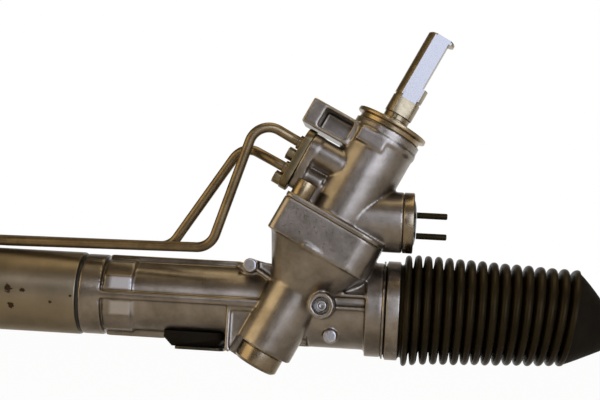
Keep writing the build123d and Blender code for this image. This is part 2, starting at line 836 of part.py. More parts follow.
with BuildPart() as pinion_nut:
    with BuildSketch(tower.offset(lower_bearing_t - seat_gap)):
        RegularPolygon(pinion_nut_r, 6)
        Circle(thread_r + seat_gap, mode=Mode.SUBTRACT)
    extrude(amount=-nut_length)
pinion_nut.part.label = "pinion_nut"
export_step(pinion_nut.part, "parts/pinion_nut.step")

# Lower ball bearing with grooved races
ball_track_r = (inner_race_r + outer_race_r) / 2
track_center_t = lower_bearing_t + bearing_length / 2
for name, wall_r, race_r in (
    ("lower_bearing_inner", lower_journal_r + seat_gap, inner_race_r),
    ("lower_bearing_outer", bearing_r, outer_race_r),
):
    with BuildPart() as race:
        with BuildSketch(tower_side):
            with Locations(((wall_r + race_r) / 2, track_center_t)):
                Rectangle(abs(wall_r - race_r), bearing_length - 2 * seat_gap)
            with Locations((ball_track_r, track_center_t)):
                Circle(race_ball_r + seat_gap, mode=Mode.SUBTRACT)
        revolve(axis=tower_axis)
    race.part.label = name
    export_step(race.part, f"parts/{name}.step")

with BuildPart(tower.offset(track_center_t)) as lower_bearing_balls:
    with PolarLocations(ball_track_r, ball_count):
        Sphere(race_ball_r)
lower_bearing_balls.part.label = "lower_bearing_balls"
export_step(lower_bearing_balls.part, "parts/lower_bearing_balls.step")

with BuildPart() as pinion_cap:
    rod_t(cap_r, tower_foot_t - cap_length, tower_foot_t)
    rod_t(bearing_r, tower_foot_t, lower_bearing_t - seat_gap)
    rod_t(cap_bore_r, lower_bearing_t - nut_length - 4, lower_bearing_t, mode=Mode.SUBTRACT)
pinion_cap.part.label = "pinion_cap"
export_step(pinion_cap.part, "parts/pinion_cap.step")

# Needle bearing above the teeth
needle_track_r = upper_journal_r + running_gap + needle_r
with BuildPart() as upper_bearing:
    shell_inner_r = needle_track_r + needle_r + seat_gap
    tower_ring(shell_inner_r, bearing_r, upper_bearing_t + seat_gap, upper_bearing_length)
    with BuildSketch(tower.offset(upper_bearing_t + 0.6)):
        with PolarLocations(needle_track_r + 0.02, needle_count):
            Circle(needle_r)
    extrude(amount=upper_bearing_length - 1.2)
upper_bearing.part.label = "upper_bearing"
export_step(upper_bearing.part, "parts/upper_bearing.step")

with BuildPart() as pinion_seal:
    seal_t = upper_bearing_t + upper_bearing_length + 0.2
    tower_ring(upper_journal_r + running_gap, bearing_r, seal_t, pinion_seal_length)
pinion_seal.part.label = "pinion_seal"
export_step(pinion_seal.part, "parts/pinion_seal.step")

# Rotary valve: sleeve with four sealing rings, rotor and torsion bar
land_t = [sleeve_t + sleeve_length * (k + 0.5) / ring_count for k in range(ring_count)]
with BuildPart() as valve_sleeve:
    tower_ring(rotor_r + running_gap, sleeve_r, sleeve_t + seat_gap, sleeve_length)
    for middle in land_t:
        with BuildSketch(tower.offset(middle - ring_width / 2)):
            Circle(sleeve_r + 1)
            Circle(sleeve_r - ring_depth, mode=Mode.SUBTRACT)
        extrude(amount=ring_width, mode=Mode.SUBTRACT)
valve_sleeve.part.label = "valve_sleeve"
export_step(valve_sleeve.part, "parts/valve_sleeve.step")

with BuildPart() as sleeve_rings:
    for middle in land_t:
        ring_foot = middle - ring_width / 2 + seat_gap
        inner_r = sleeve_r - ring_depth + seat_gap
        tower_ring(inner_r, valve_bore_r - running_gap, ring_foot, ring_width - 2 * seat_gap)
sleeve_rings.part.label = "sleeve_rings"
export_step(sleeve_rings.part, "parts/sleeve_rings.step")

with BuildPart() as input_shaft:
    rod_t(rotor_tail_r, rotor_tail_t, sleeve_t + 1)
    rod_t(rotor_r, sleeve_t + 2 * seat_gap, head_t - 1)
    rod_t(journal_r, head_t - 1, journal_end_t)
    rod_t(shaft_r, journal_end_t, flat_start_t - shaft_groove_width)
    rod_t(shaft_groove_r, flat_start_t - shaft_groove_width, flat_start_t)
    rod_t(shaft_r, flat_start_t, shaft_top_t)
    # Six control grooves of the rotor
    with BuildSketch(tower.offset(sleeve_t + 8)):
        with PolarLocations(rotor_r, 6):
            Rectangle(3, 3.4)
    extrude(amount=sleeve_length - 16, mode=Mode.SUBTRACT)
    # Flat and clamp notch of the upper end
    flat_depth = sqrt(shaft_r**2 - flat_half_width**2)
    with BuildSketch(tower.offset(flat_start_t)):
        with Locations(Location((0, 0, 0), (0, 0, -flat_turn))):
            with Locations((0, -flat_depth - shaft_r / 2)):
                Rectangle(2 * shaft_r, shaft_r)
    extrude(amount=shaft_top_t - flat_start_t, mode=Mode.SUBTRACT)
    with BuildSketch(tower.offset(notch_start_t)):
        with Locations((notch_n + shaft_r / 2, 0)):
            Rectangle(shaft_r, 2 * shaft_r)
    extrude(amount=notch_end_t - notch_start_t, mode=Mode.SUBTRACT)
    rod_t(bar_end_r + running_gap, rotor_tail_t, bar_top_t + 1, mode=Mode.SUBTRACT)
input_shaft.part.label = "input_shaft"
export_step(input_shaft.part, "parts/input_shaft.step")

with BuildPart() as torsion_bar:
    rod_t(bar_end_r, bar_foot_t, bar_foot_t + 12)
    rod_t(bar_waist_r, bar_foot_t + 12, bar_top_t - 14)
    rod_t(bar_end_r, bar_top_t - 14, bar_top_t)
torsion_bar.part.label = "torsion_bar"
export_step(torsion_bar.part, "parts/torsion_bar.step")

with BuildPart() as input_bearing:
    tower_ring(journal_r + running_gap, head_bore_r - seat_gap, head_t + seat_gap, input_bearing_length)
input_bearing.part.label = "input_bearing"
export_step(input_bearing.part, "parts/input_bearing.step")

with BuildPart() as input_seal:
    seal_foot = head_t + input_bearing_length + seal_clearance
    tower_ring(journal_r + running_gap, head_bore_r - seat_gap, seal_foot, input_seal_length)
input_seal.part.label = "input_seal"
export_step(input_seal.part, "parts/input_seal.step")

with BuildPart() as dust_cover:
    tower_ring(journal_r + running_gap, cover_r, cover_t, cover_thickness)
    tower_ring(head_bore_r, cover_hub_r, valve_top_t + seat_gap, cover_t - valve_top_t)
dust_cover.part.label = "dust_cover"
export_step(dust_cover.part, "parts/dust_cover.step")

# Yoke that presses the rack into the pinion, its spring, adjuster and lock nut
yoke_back_y = yoke_front_y + yoke_length
with BuildPart() as support_yoke:
    with BuildSketch(Plane.XZ.offset(-yoke_front_y)):
        Circle(yoke_r)
    extrude(amount=-yoke_length)
    rod_x(rack_bar_r + running_gap, -2 * yoke_r, 2 * yoke_r, mode=Mode.SUBTRACT)
    with BuildSketch(Plane.XZ.offset(-yoke_back_y)):
        Circle(yoke_pocket_r)
    extrude(amount=yoke_pocket_depth, mode=Mode.SUBTRACT)
support_yoke.part.label = "support_yoke"
export_step(support_yoke.part, "parts/support_yoke.step")

spring_foot_y = yoke_back_y - yoke_pocket_depth + 0.15 + spring_wire_r
with BuildPart() as yoke_spring:
    with BuildLine():
        coil = Helix(
            spring_pitch,
            spring_pitch * spring_turns,
            spring_coil_r,
            center=(0, spring_foot_y, 0),
            direction=(0, 1, 0),
        )
    with BuildSketch(Plane(origin=coil @ 0, z_dir=coil % 0)):
        Circle(spring_wire_r)
    sweep(path=coil)
yoke_spring.part.label = "yoke_spring"
export_step(yoke_spring.part, "parts/yoke_spring.step")

adjuster_front_y = spring_foot_y + spring_pitch * spring_turns + spring_wire_r + 0.15
with BuildPart() as yoke_adjuster:
    with BuildSketch(Plane.XZ.offset(-adjuster_front_y)):
        Circle(yoke_r)
    extrude(amount=-(yoke_boss_y + lock_nut_length + 1 - adjuster_front_y))
    with BuildSketch(Plane.XZ.offset(-(yoke_boss_y + lock_nut_length + 1))):
        RegularPolygon(adjuster_hex_r, 6)
    extrude(amount=adjuster_hex_depth, mode=Mode.SUBTRACT)
yoke_adjuster.part.label = "yoke_adjuster"
export_step(yoke_adjuster.part, "parts/yoke_adjuster.step")

with BuildPart() as yoke_lock_nut:
    with BuildSketch(Plane.XZ.offset(-(yoke_boss_y + seat_gap))):
        RegularPolygon(lock_nut_r, 6, rotation=30)
        Circle(yoke_r + seat_gap, mode=Mode.SUBTRACT)
    extrude(amount=-lock_nut_length)
yoke_lock_nut.part.label = "yoke_lock_nut"
export_step(yoke_lock_nut.part, "parts/yoke_lock_nut.step")

# Solenoid in its boss, with the end ring, the grommet and two cut leads
with BuildPart() as solenoid:
    rod_b(plunger_r, plunger_x + seat_gap, coil_start_x + 1)
    rod_b(coil_r, coil_start_x + seat_gap, boss_face_x - seat_gap)
solenoid.part.label = "solenoid"
export_step(solenoid.part, "parts/solenoid.step")

with BuildPart() as solenoid_cover:
    rod_b(boss_r, boss_face_x + seat_gap, boss_front_x)
    rod_b(grommet_r + seat_gap, boss_face_x, boss_front_x, mode=Mode.SUBTRACT)
solenoid_cover.part.label = "solenoid_cover"
export_step(solenoid_cover.part, "parts/solenoid_cover.step")

with BuildPart() as lead_grommet:
    rod_b(grommet_r, boss_face_x + seat_gap, boss_front_x + grommet_proud)
lead_grommet.part.label = "lead_grommet"
export_step(lead_grommet.part, "parts/lead_grommet.step")

with BuildPart() as solenoid_leads:
    with BuildSketch(Plane.YZ.offset(boss_front_x + grommet_proud + seat_gap)):
        with Locations(*[(pinion_y, height) for height in lead_z]):
            Circle(lead_r)
    extrude(amount=lead_length)
solenoid_leads.part.label = "solenoid_leads"
export_step(solenoid_leads.part, "parts/solenoid_leads.step")

# Steel feed pipes: out of the plate, over, down, and left along the cylinder
pipe_start_n = pipe_plate_n + pipe_plate_thickness - 1


def feed_pipe_route(start_t, reach, over_y, low_x, low_y):
    """First corners of a feed pipe: in the clamp plate, straight out of it, over, and down."""
    start = at_tower(pipe_start_n, pipe_boss_y, start_t)
    out = at_tower(pipe_plate_n - pipe_straight, pipe_boss_y, start_t)
    over = at_tower(pipe_start_n - reach, over_y - pinion_y, start_t)
    return [start, out, over, Vector(low_x, low_y, pipe_low_z)]


def feed_pipe_end(port_x, port_y):
    """Last corners of a feed pipe, straight into its port."""
    end_x = port_x - port_depth + port_drill_r + 1
    return [Vector(port_x + 2 * pipe_bend_r, port_y, pipe_level_z), Vector(end_x, port_y, pipe_level_z)]


# The rear pipe rises over the strap of the cylinder's mount
over_strap = [
    Vector(bush_x + step_x, pipe_end_y[1], height)
    for step_x, height in (
        (2 * bush_width + 2, pipe_level_z),
        (bush_width + 14, strap_pass_z),
        (-bush_width / 2 - 1, strap_pass_z),
    )
]
front_route = feed_pipe_route(pipe_t[0], *front_pipe_bends) + feed_pipe_end(*port_blocks[0])
rear_route = feed_pipe_route(pipe_t[1], *rear_pipe_bends) + over_strap + feed_pipe_end(*port_blocks[1])
pipe_routes = (("feed_pipe_front", front_route), ("feed_pipe_rear", rear_route))
for name, corners in pipe_routes:
    with BuildPart() as feed_pipe:
        with BuildLine():
            route = FilletPolyline(*corners, radius=pipe_bend_r)
        with BuildSketch(Plane(origin=route @ 0, z_dir=route % 0)):
            Circle(pipe_r)
        sweep(path=route)
    feed_pipe.part.label = name
    export_step(feed_pipe.part, f"parts/{name}.step")

with BuildPart() as pipe_clamp_plate:
    with BuildSketch(pipe_side.offset(-pipe_plate_n - pipe_plate_thickness + seat_gap)):
        with Locations(((plate_foot_t + plate_top_t) / 2, pipe_boss_y)):
            SlotOverall(plate_top_t - plate_foot_t, 2 * plate_half_width)
        with Locations(*[(height, pipe_boss_y) for height in pipe_t]):
            Circle(pipe_r + seat_gap, mode=Mode.SUBTRACT)
        with Locations(*[(height, pipe_boss_y) for height in clamp_bolt_t]):
            Circle(clamp_bolt_r + seat_gap, mode=Mode.SUBTRACT)
    extrude(amount=pipe_plate_thickness - seat_gap)
pipe_clamp_plate.part.label = "pipe_clamp_plate"
export_step(pipe_clamp_plate.part, "parts/pipe_clamp_plate.step")

with BuildPart() as pipe_clamp_bolts:
    with BuildSketch(pipe_side.offset(-pipe_plate_n - pipe_plate_thickness + 2 * seat_gap)):
        with Locations(*[(height, pipe_boss_y) for height in clamp_bolt_t]):
            Circle(clamp_bolt_r)
    extrude(amount=pipe_plate_thickness)
    with BuildSketch(pipe_side.offset(-pipe_plate_n + seat_gap)):
        with Locations(*[(height, pipe_boss_y) for height in clamp_bolt_t]):
            RegularPolygon(clamp_head_r, 6)
    extrude(amount=clamp_head_height)
pipe_clamp_bolts.part.label = "pipe_clamp_bolts"
export_step(pipe_clamp_bolts.part, "parts/pipe_clamp_bolts.step")

with BuildPart() as pipe_unions:
    for port_x, port_y in port_blocks:
        with BuildSketch(Plane.YZ.offset(port_x + seat_gap)):
            with Locations((port_y, pipe_level_z)):
                RegularPolygon(union_r, 6)
                Circle(pipe_r + seat_gap, mode=Mode.SUBTRACT)
        extrude(amount=union_length)
pipe_unions.part.label = "pipe_unions"
export_step(pipe_unions.part, "parts/pipe_unions.step")

with BuildPart() as breather_nipple:
    nipple_foot = breather_reach - breather_depth + seat_gap
    with BuildSketch(Plane.XZ.offset(nipple_foot)):
        with Locations(breather_spot):
            Circle(breather_bore_r - 2 * seat_gap)
    extrude(amount=nipple_base)
    with BuildSketch(Plane.XZ.offset(nipple_foot)):
        with Locations(breather_spot):
            Circle(nipple_r)
    extrude(amount=nipple_length)
breather_nipple.part.label = "breather_nipple"
export_step(breather_nipple.part, "parts/breather_nipple.step")

# Rubber pad under the case and the lug, with its steel plate
with BuildPart() as mount_pad:
    with BuildSketch(Plane.XY.offset(pad_bottom_z)):
        with Locations(((pad_left_x + pad_right_x) / 2, (pad_front_y + pad_back_y) / 2)):
            RectangleRounded(pad_right_x - pad_left_x, pad_back_y - pad_front_y, 5)
    extrude(amount=-lug_half_height - soft_gap - pad_bottom_z)
    chamfer(mount_pad.faces().sort_by(Axis.Z)[0].edges().sort_by(Axis.X)[0], 5)
    rod_x(case_r + soft_gap, pad_left_x - 5, pad_right_x + 5, mode=Mode.SUBTRACT)
    with BuildSketch(Plane.XY.offset(pad_bottom_z)):
        with Locations((left_lug_x, lug_y)):
            Circle(lug_bore_r + 3)
    extrude(amount=-pad_bottom_z, mode=Mode.SUBTRACT)
mount_pad.part.label = "mount_pad"
export_step(mount_pad.part, "parts/mount_pad.step")

with BuildPart() as mount_pad_plate:
    with BuildSketch(Plane.XY.offset(pad_bottom_z - seat_gap)):
        with Locations(((pad_left_x + pad_right_x) / 2 + 3.5, (pad_front_y + pad_back_y) / 2)):
            RectangleRounded(pad_right_x - pad_left_x - 7, pad_back_y - pad_front_y - 2, 4)
        with Locations((left_lug_x, lug_y)):
            Circle(lug_bore_r, mode=Mode.SUBTRACT)
    extrude(amount=-pad_plate_thickness)
mount_pad_plate.part.label = "mount_pad_plate"
export_step(mount_pad_plate.part, "parts/mount_pad_plate.step")

# Rubber bush and steel strap that carry the power cylinder
with BuildPart() as tube_mount_bush:
    ring(tube_r + seat_gap, tube_r + bush_wall, bush_x, bush_width)
tube_mount_bush.part.label = "tube_mount_bush"
export_step(tube_mount_bush.part, "parts/tube_mount_bush.step")

strap_inner_r = tube_r + bush_wall + seat_gap
strap_outer_r = strap_inner_r + strap_thickness
with BuildPart() as tube_mount_bracket:
    with BuildSketch(Plane.YZ.offset(bush_x + 2)):
        Circle(strap_outer_r)
        with Locations((0, strap_foot_z / 2)):
            Rectangle(2 * strap_outer_r, -strap_foot_z)
        with Locations((0, strap_foot_z + strap_thickness / 2)):
            Rectangle(2 * strap_reach, strap_thickness)
        Circle(strap_inner_r, mode=Mode.SUBTRACT)
        with Locations((0, strap_foot_z)):
            Rectangle(2 * strap_inner_r, -2 * strap_foot_z, mode=Mode.SUBTRACT)
    extrude(amount=bush_width - 4)
    with BuildSketch(Plane.XY.offset(strap_foot_z)):
        with Locations((bush_x + bush_width / 2, strap_hole_y), (bush_x + bush_width / 2, -strap_hole_y)):
            Circle(strap_hole_r)
    extrude(amount=strap_thickness, mode=Mode.SUBTRACT)
tube_mount_bracket.part.label = "tube_mount_bracket"
export_step(tube_mount_bracket.part, "parts/tube_mount_bracket.step")

# Each end: ball socket, seat, tie rod, jam nut, bellows and two clamps
crest_stations = [
    first_crest + (last_crest - first_crest) * (k / (crest_count - 1)) ** 1.12 for k in range(crest_count)
]
crest_step = (last_crest_r - first_crest_r) / (crest_count - 1)
crest_radii = [first_crest_r + crest_step * k for k in range(crest_count)]


def fold_line(inset):
    """Zigzag of the folds as station and radius, moved inwards by an inset."""
    points = [(mouth_length, mouth_r - 1.2 - inset)]
    for k in range(crest_count):
        points.append((crest_stations[k], crest_radii[k] - inset))
        if k < crest_count - 1:
            middle = (crest_stations[k] + crest_stations[k + 1]) / 2
            points.append((middle, crest_radii[k] - fold_depth - inset))
    points.append((last_crest + cone_start, last_crest_r - 1 - inset))
    return points


for side, name, stop_x in ((1, "right", right_stop_x), (-1, "left", left_stop_x)):
    socket_x = stop_x + side * (rack_travel + stop_gap)
    ball_x = stop_x + side * ball_station
    rod_plane = Plane(origin=(ball_x, 0, 0), x_dir=(0, 1, 0), z_dir=(side * cos(droop), 0, -sin(droop)))
    neck_distance = (neck_station - ball_station) / cos(droop)

    with BuildPart() as ball_socket:
        rod_x(socket_r, socket_x + side * seat_gap, ball_x + side * mouth_reach)
        rod_x(stud_r, socket_x - side * stud_length, socket_x + side)
        with Locations((ball_x, 0, 0)):
            Sphere(ball_r + running_gap + seat_wall + seat_gap, mode=Mode.SUBTRACT)
        with BuildSketch(Plane.YZ.offset(socket_x + side * seat_gap)):
            with Locations((0, socket_r), (0, -socket_r)):
                Rectangle(2 * socket_r, 2 * wrench_depth)
        extrude(amount=side * wrench_length, mode=Mode.SUBTRACT)
    ball_socket.part.label = f"ball_socket_{name}"
    export_step(ball_socket.part, f"parts/ball_socket_{name}.step")

    with BuildPart() as ball_seat:
        with Locations((ball_x, 0, 0)):
            Sphere(ball_r + running_gap + seat_wall)
            Sphere(ball_r + running_gap, mode=Mode.SUBTRACT)
        rod_x(2 * ball_r, ball_x + side * 5, ball_x + side * 2 * ball_r, mode=Mode.SUBTRACT)
    ball_seat.part.label = f"ball_seat_{name}"
    export_step(ball_seat.part, f"parts/ball_seat_{name}.step")

    with BuildPart() as tie_rod:
        with Locations((ball_x, 0, 0)):
            Sphere(ball_r)
        with BuildSketch(rod_plane):
            Circle(rod_neck_r)
        extrude(amount=rod_neck_length)
        with BuildSketch(rod_plane.offset(rod_neck_length)):
            Circle(rod_r)
        extrude(amount=hex_start - rod_neck_length)
        with BuildSketch(rod_plane.offset(hex_start)):
            RegularPolygon(rod_r + 1.8, 6)
        extrude(amount=hex_length)
        with BuildSketch(rod_plane.offset(hex_start + hex_length)):
            Circle(rod_thread_r)
        extrude(amount=rod_length - hex_start - hex_length)
        chamfer(tie_rod.faces().sort_by(Axis.X)[-1 if side > 0 else 0].edges(), 1)
        with BuildSketch(rod_plane.offset(jam_nut_start + jam_nut_length)):
            Circle(rod_r)
            Circle(undercut_r, mode=Mode.SUBTRACT)
        extrude(amount=undercut_width, mode=Mode.SUBTRACT)
    tie_rod.part.label = f"tie_rod_{name}"
    export_step(tie_rod.part, f"parts/tie_rod_{name}.step")

    with BuildPart() as jam_nut:
        with BuildSketch(rod_plane.offset(jam_nut_start)):
            RegularPolygon(jam_nut_r, 6)
            Circle(rod_thread_r + seat_gap, mode=Mode.SUBTRACT)
        extrude(amount=jam_nut_length)
    jam_nut.part.label = f"jam_nut_{name}"
    export_step(jam_nut.part, f"parts/jam_nut_{name}.step")

    with BuildPart() as bellows:
        with BuildSketch(Plane.XZ):
            with BuildLine():
                outer = [(mouth_start, mouth_r), (mouth_length, mouth_r)] + fold_line(0)
                inner = fold_line(bellows_wall)[::-1]
                mouth = [(mouth_length, spigot_r + seat_gap), (mouth_start, spigot_r + seat_gap)]
                outline = [(stop_x + side * station, radius) for station, radius in outer + inner + mouth]
                Polyline(*outline, close=True)
            make_face()
        revolve(axis=Axis.X)
        cone_x = stop_x + side * (last_crest + cone_start)
        for wide_r, narrow_r, mode in (
            (last_crest_r - 1, neck_r, Mode.ADD),
            (last_crest_r - 1 - bellows_wall, rod_r + soft_gap, Mode.SUBTRACT),
        ):
            with BuildSketch(Plane.YZ.offset(cone_x)):
                Circle(wide_r)
            with BuildSketch(rod_plane.offset(neck_distance)):
                Circle(narrow_r)
            loft(mode=mode)
        with BuildSketch(rod_plane.offset(neck_distance)):
            Circle(neck_r)
            Circle(rod_r + soft_gap, mode=Mode.SUBTRACT)
        extrude(amount=neck_length)
    bellows.part.label = f"bellows_{name}"
    export_step(bellows.part, f"parts/bellows_{name}.step")

    with BuildPart() as bellows_clamp:
        ring(mouth_r + seat_gap, mouth_r + clamp_thickness, stop_x + side * clamp_station, side * clamp_width)
        with BuildSketch(Plane.XY.offset(-clamp_ear_length / 2)):
            ear_station = clamp_station + clamp_width / 2
            with Locations((stop_x + side * ear_station, mouth_r + clamp_ear_height / 2)):
                Rectangle(clamp_width, clamp_ear_height)
        extrude(amount=clamp_ear_length)
    bellows_clamp.part.label = f"bellows_clamp_{name}"
    export_step(bellows_clamp.part, f"parts/bellows_clamp_{name}.step")

    with BuildPart() as neck_clamp:
        with BuildSketch(rod_plane.offset(neck_distance + 4)):
            Circle(neck_r + soft_gap + clamp_thickness)
            Circle(neck_r + soft_gap, mode=Mode.SUBTRACT)
        extrude(amount=clamp_width - 1)
    neck_clamp.part.label = f"neck_clamp_{name}"
    export_step(neck_clamp.part, f"parts/neck_clamp_{name}.step")
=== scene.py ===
import bmesh
import bpy
import json
import numpy as np
from mathutils import Matrix, Vector

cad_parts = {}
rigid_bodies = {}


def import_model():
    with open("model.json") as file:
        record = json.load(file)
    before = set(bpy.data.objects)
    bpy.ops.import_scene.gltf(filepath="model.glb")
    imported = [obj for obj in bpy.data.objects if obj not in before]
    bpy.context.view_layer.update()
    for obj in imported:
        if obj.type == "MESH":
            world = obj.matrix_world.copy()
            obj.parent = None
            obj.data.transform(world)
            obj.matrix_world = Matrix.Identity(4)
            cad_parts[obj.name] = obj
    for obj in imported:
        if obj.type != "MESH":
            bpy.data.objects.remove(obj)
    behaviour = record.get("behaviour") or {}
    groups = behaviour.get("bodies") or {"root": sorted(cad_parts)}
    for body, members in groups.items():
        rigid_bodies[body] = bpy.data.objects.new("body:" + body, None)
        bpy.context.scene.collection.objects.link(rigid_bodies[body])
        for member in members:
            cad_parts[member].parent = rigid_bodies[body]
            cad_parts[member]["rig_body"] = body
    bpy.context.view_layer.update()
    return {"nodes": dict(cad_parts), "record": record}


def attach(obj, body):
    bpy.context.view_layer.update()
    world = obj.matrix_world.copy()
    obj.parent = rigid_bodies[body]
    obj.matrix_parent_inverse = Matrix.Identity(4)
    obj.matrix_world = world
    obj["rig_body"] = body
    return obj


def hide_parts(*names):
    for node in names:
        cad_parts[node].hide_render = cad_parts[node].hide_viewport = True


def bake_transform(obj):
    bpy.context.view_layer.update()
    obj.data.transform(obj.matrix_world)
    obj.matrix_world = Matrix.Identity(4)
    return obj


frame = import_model()
nodes = frame["nodes"]
print("frame loaded,", len(nodes), "nodes")

# Lengths are in millimetres and turned into metres where a mesh or a node takes them
mm = 0.001
tilt = np.radians(26.9)
axisAcross = np.array([np.cos(tilt), 0, -np.sin(tilt)])  # n, right and down across the tower
axisBack = np.array([0.0, 1.0, 0.0])  # y, away from the camera
axisUp = np.array([np.sin(tilt), 0, np.cos(tilt)])  # t, up the tower
towerBase = np.array([0.0, -16.6, 0.0])
bossBase = np.array([0.0, -16.6, 52.2])
origin = np.zeros(3)
worldX = np.array([1.0, 0.0, 0.0])
worldZ = np.array([0.0, 0.0, 1.0])
worldAxes = (worldX, axisBack, worldZ)
weld = {"grid": 1e-6, "node": 2e-6}  # metres


# Shapes
def towerPoint(n, y, t):
    # base + n across + y back + t up
    return towerBase + n * axisAcross + y * axisBack + t * axisUp


def smoothed(mesh):
    mesh.polygons.foreach_set("use_smooth", np.ones(len(mesh.polygons), bool))


def finishMesh(name, mesh, sharpAngle):
    # the mesh as an object: doubles welded, faces outwards, smooth up to the sharp angle
    piece = bpy.data.objects.new(name, mesh)
    bpy.context.scene.collection.objects.link(piece)
    shell = bmesh.new()
    shell.from_mesh(mesh)
    bmesh.ops.remove_doubles(shell, verts=shell.verts, dist=weld["grid"])
    bmesh.ops.recalc_face_normals(shell, faces=shell.faces)
    shell.to_mesh(mesh)
    shell.free()
    smoothed(mesh)
    mesh.set_sharp_from_angle(angle=np.radians(sharpAngle))
    return piece


def gridFaces(rows, columns, closeRows, closeColumns, start):
    # quads (i, j), (i+1, j), (i+1, j+1), (i, j+1), wrapping where an edge closes
    i = np.arange(rows if closeRows else rows - 1)
    j = np.arange(columns if closeColumns else columns - 1)
    a, b = np.meshgrid(i, j, indexing="ij")
    c, d = (a + 1) % rows, (b + 1) % columns
    quads = np.stack([a * columns + b, c * columns + b, c * columns + d, a * columns + d], -1)
    return quads.reshape(-1, 4) + start


def gridMesh(name, surfaces, sharpAngle=38):
    # surfaces: (points[rows, columns, 3], closeRows, closeColumns, capped)
    points, faces, count = [], [], 0
    for surface, closeRows, closeColumns, capped in surfaces:
        rows, columns = surface.shape[:2]
        points.append(surface.reshape(-1, 3) * mm)
        faces += gridFaces(rows, columns, closeRows, closeColumns, count).tolist()
        if capped:
            faces.append((count + np.arange(columns)).tolist())
            faces.append((count + (rows - 1) * columns + np.arange(columns)[::-1]).tolist())
        count += rows * columns
    mesh = bpy.data.meshes.new(name)
    mesh.from_pydata(np.concatenate(points).tolist(), [], faces)
    return finishMesh(name, mesh, sharpAngle)


def roundCorners(profile, radius, steps=4, most=0.45):
    # each corner P becomes the curve (1-u)^2 A + 2u(1-u) P + u^2 B, with A and B a radius from P,
    # or at most that share of a side from it where the side is short
    corner = np.asarray(profile, float)
    before, after = np.roll(corner, 1, 0) - corner, np.roll(corner, -1, 0) - corner
    lengthBefore = np.linalg.norm(before, axis=1, keepdims=True)
    lengthAfter = np.linalg.norm(after, axis=1, keepdims=True)
    pointA = corner + before / lengthBefore * np.minimum(radius, most * lengthBefore)
    pointB = corner + after / lengthAfter * np.minimum(radius, most * lengthAfter)
    u = np.linspace(0, 1, steps)[None, :, None]
    curve = (1 - u) ** 2 * pointA[:, None] + 2 * u * (1 - u) * corner[:, None] + u**2 * pointB[:, None]
    return curve.reshape(-1, 2)


def crossAxes(axis):
    # two unit vectors square to the axis
    helper = worldZ if abs(axis[2]) < 0.9 else worldX
    first = np.cross(helper, axis)
    first /= np.linalg.norm(first)
    return first, np.cross(axis, first)


def turnedSurface(base, axis, profile, segments, radiusAt=None):
    # point = base + s axis + r(s, a) (cos a first + sin a second), profile rows are (s, r)
    first, second = crossAxes(axis)
    angle = np.linspace(0, 2 * np.pi, segments, endpoint=False)
    along, radius = profile[:, 0:1], np.repeat(profile[:, 1:2], segments, 1)
    if radiusAt is not None:
        radius = radiusAt(along + 0 * radius, radius, angle[None, :])
    ringOut = np.cos(angle)[None, :, None] * first + np.sin(angle)[None, :, None] * second
    return base + along[..., None] * axis + radius[..., None] * ringOut


def turned(name, base, axis, shape, extra=()):
    # the closed profile of a piece's dictionary carried once round the axis
    surface = turnedSurface(base, axis, roundCorners(shape["profile"], shape["edge"]), shape["segments"])
    return gridMesh(name, [(surface, True, True, False)] + list(extra))


def boxSurface(center, axes, half, edge, steps=5, points=64, power=0.16):
    # rounded box: a superellipse section in two axes, drawn in towards both ends of the third
    angle = np.linspace(0, 2 * np.pi, points, endpoint=False)
    sectionA = np.sign(np.cos(angle)) * np.abs(np.cos(angle)) ** power
    sectionB = np.sign(np.sin(angle)) * np.abs(np.sin(angle)) ** power
    turn = np.linspace(0, np.pi / 2, steps)
    inset = edge * (1 - np.sin(turn))
    foot = -half[2] + edge * (1 - np.cos(turn))
    inset = np.concatenate([inset, inset[::-1]])[:, None]
    height = np.concatenate([foot, -foot[::-1]])
    a = (half[0] - inset) * sectionA[None]
    b = (half[1] - inset) * sectionB[None]
    surface = np.asarray(center, float) + a[..., None] * axes[0] + b[..., None] * axes[1]
    return (surface + height[:, None, None] * axes[2], False, True, True)


def pathFrames(path):
    # tangent by central differences, side kept square to it by crossing it with one fixed vector
    tangent = np.gradient(path, axis=0)
    tangent /= np.linalg.norm(tangent, axis=1, keepdims=True)
    side = np.cross(tangent, np.array([0.2, 1.0, 0.1]))
    side /= np.linalg.norm(side, axis=1, keepdims=True)
    return side, np.cross(tangent, side)


def tubeSurface(path, radius, segments=32):
    # point = path(s) + r(s) (cos a side + sin a other)
    side, other = pathFrames(path)
    angle = np.linspace(0, 2 * np.pi, segments, endpoint=False)[None, :, None]
    radius = np.broadcast_to(radius, len(path))[:, None, None]
    surface = path[:, None] + radius * (np.cos(angle) * side[:, None] + np.sin(angle) * other[:, None])
    return (surface, False, True, True)


def bentPath(corners, radius, steps=14):
    # straight runs joined by arcs of the bend radius, each arc swept by the angle its runs turn
    corner = np.asarray(corners, float)
    path = [corner[0]]
    for previous, here, following in zip(corner[:-2], corner[1:-1], corner[2:]):
        inward = (previous - here) / np.linalg.norm(previous - here)
        outward = (following - here) / np.linalg.norm(following - here)
        half = np.arccos(np.clip(inward @ outward, -1, 1)) / 2
        middle = inward + outward
        center = here + middle / np.linalg.norm(middle) * radius / np.sin(half)
        start = here + inward * radius / np.tan(half)
        sweep = np.linspace(0, np.pi - 2 * half, steps)[:, None]
        radial = (start - center) / radius
        path += list(center + radius * (np.cos(sweep) * radial - np.sin(sweep) * inward))
    path.append(corner[-1])
    return np.array(path)


# Shader nodes
def addNode(tree, kind, **values):
    node = tree.nodes.new(kind)
    for key, value in values.items():
        if key in node.inputs:
            node.inputs[key].default_value = value
        else:
            setattr(node, key, value)
    return node


def mathNode(tree, operation, *values):
    # each value is a socket or a number
    node = addNode(tree, "ShaderNodeMath", operation=operation)
    for socket, value in zip(node.inputs, values):
        if isinstance(value, float):
            socket.default_value = value
        else:
            tree.links.new(value, socket)
    return node.outputs["Value"]


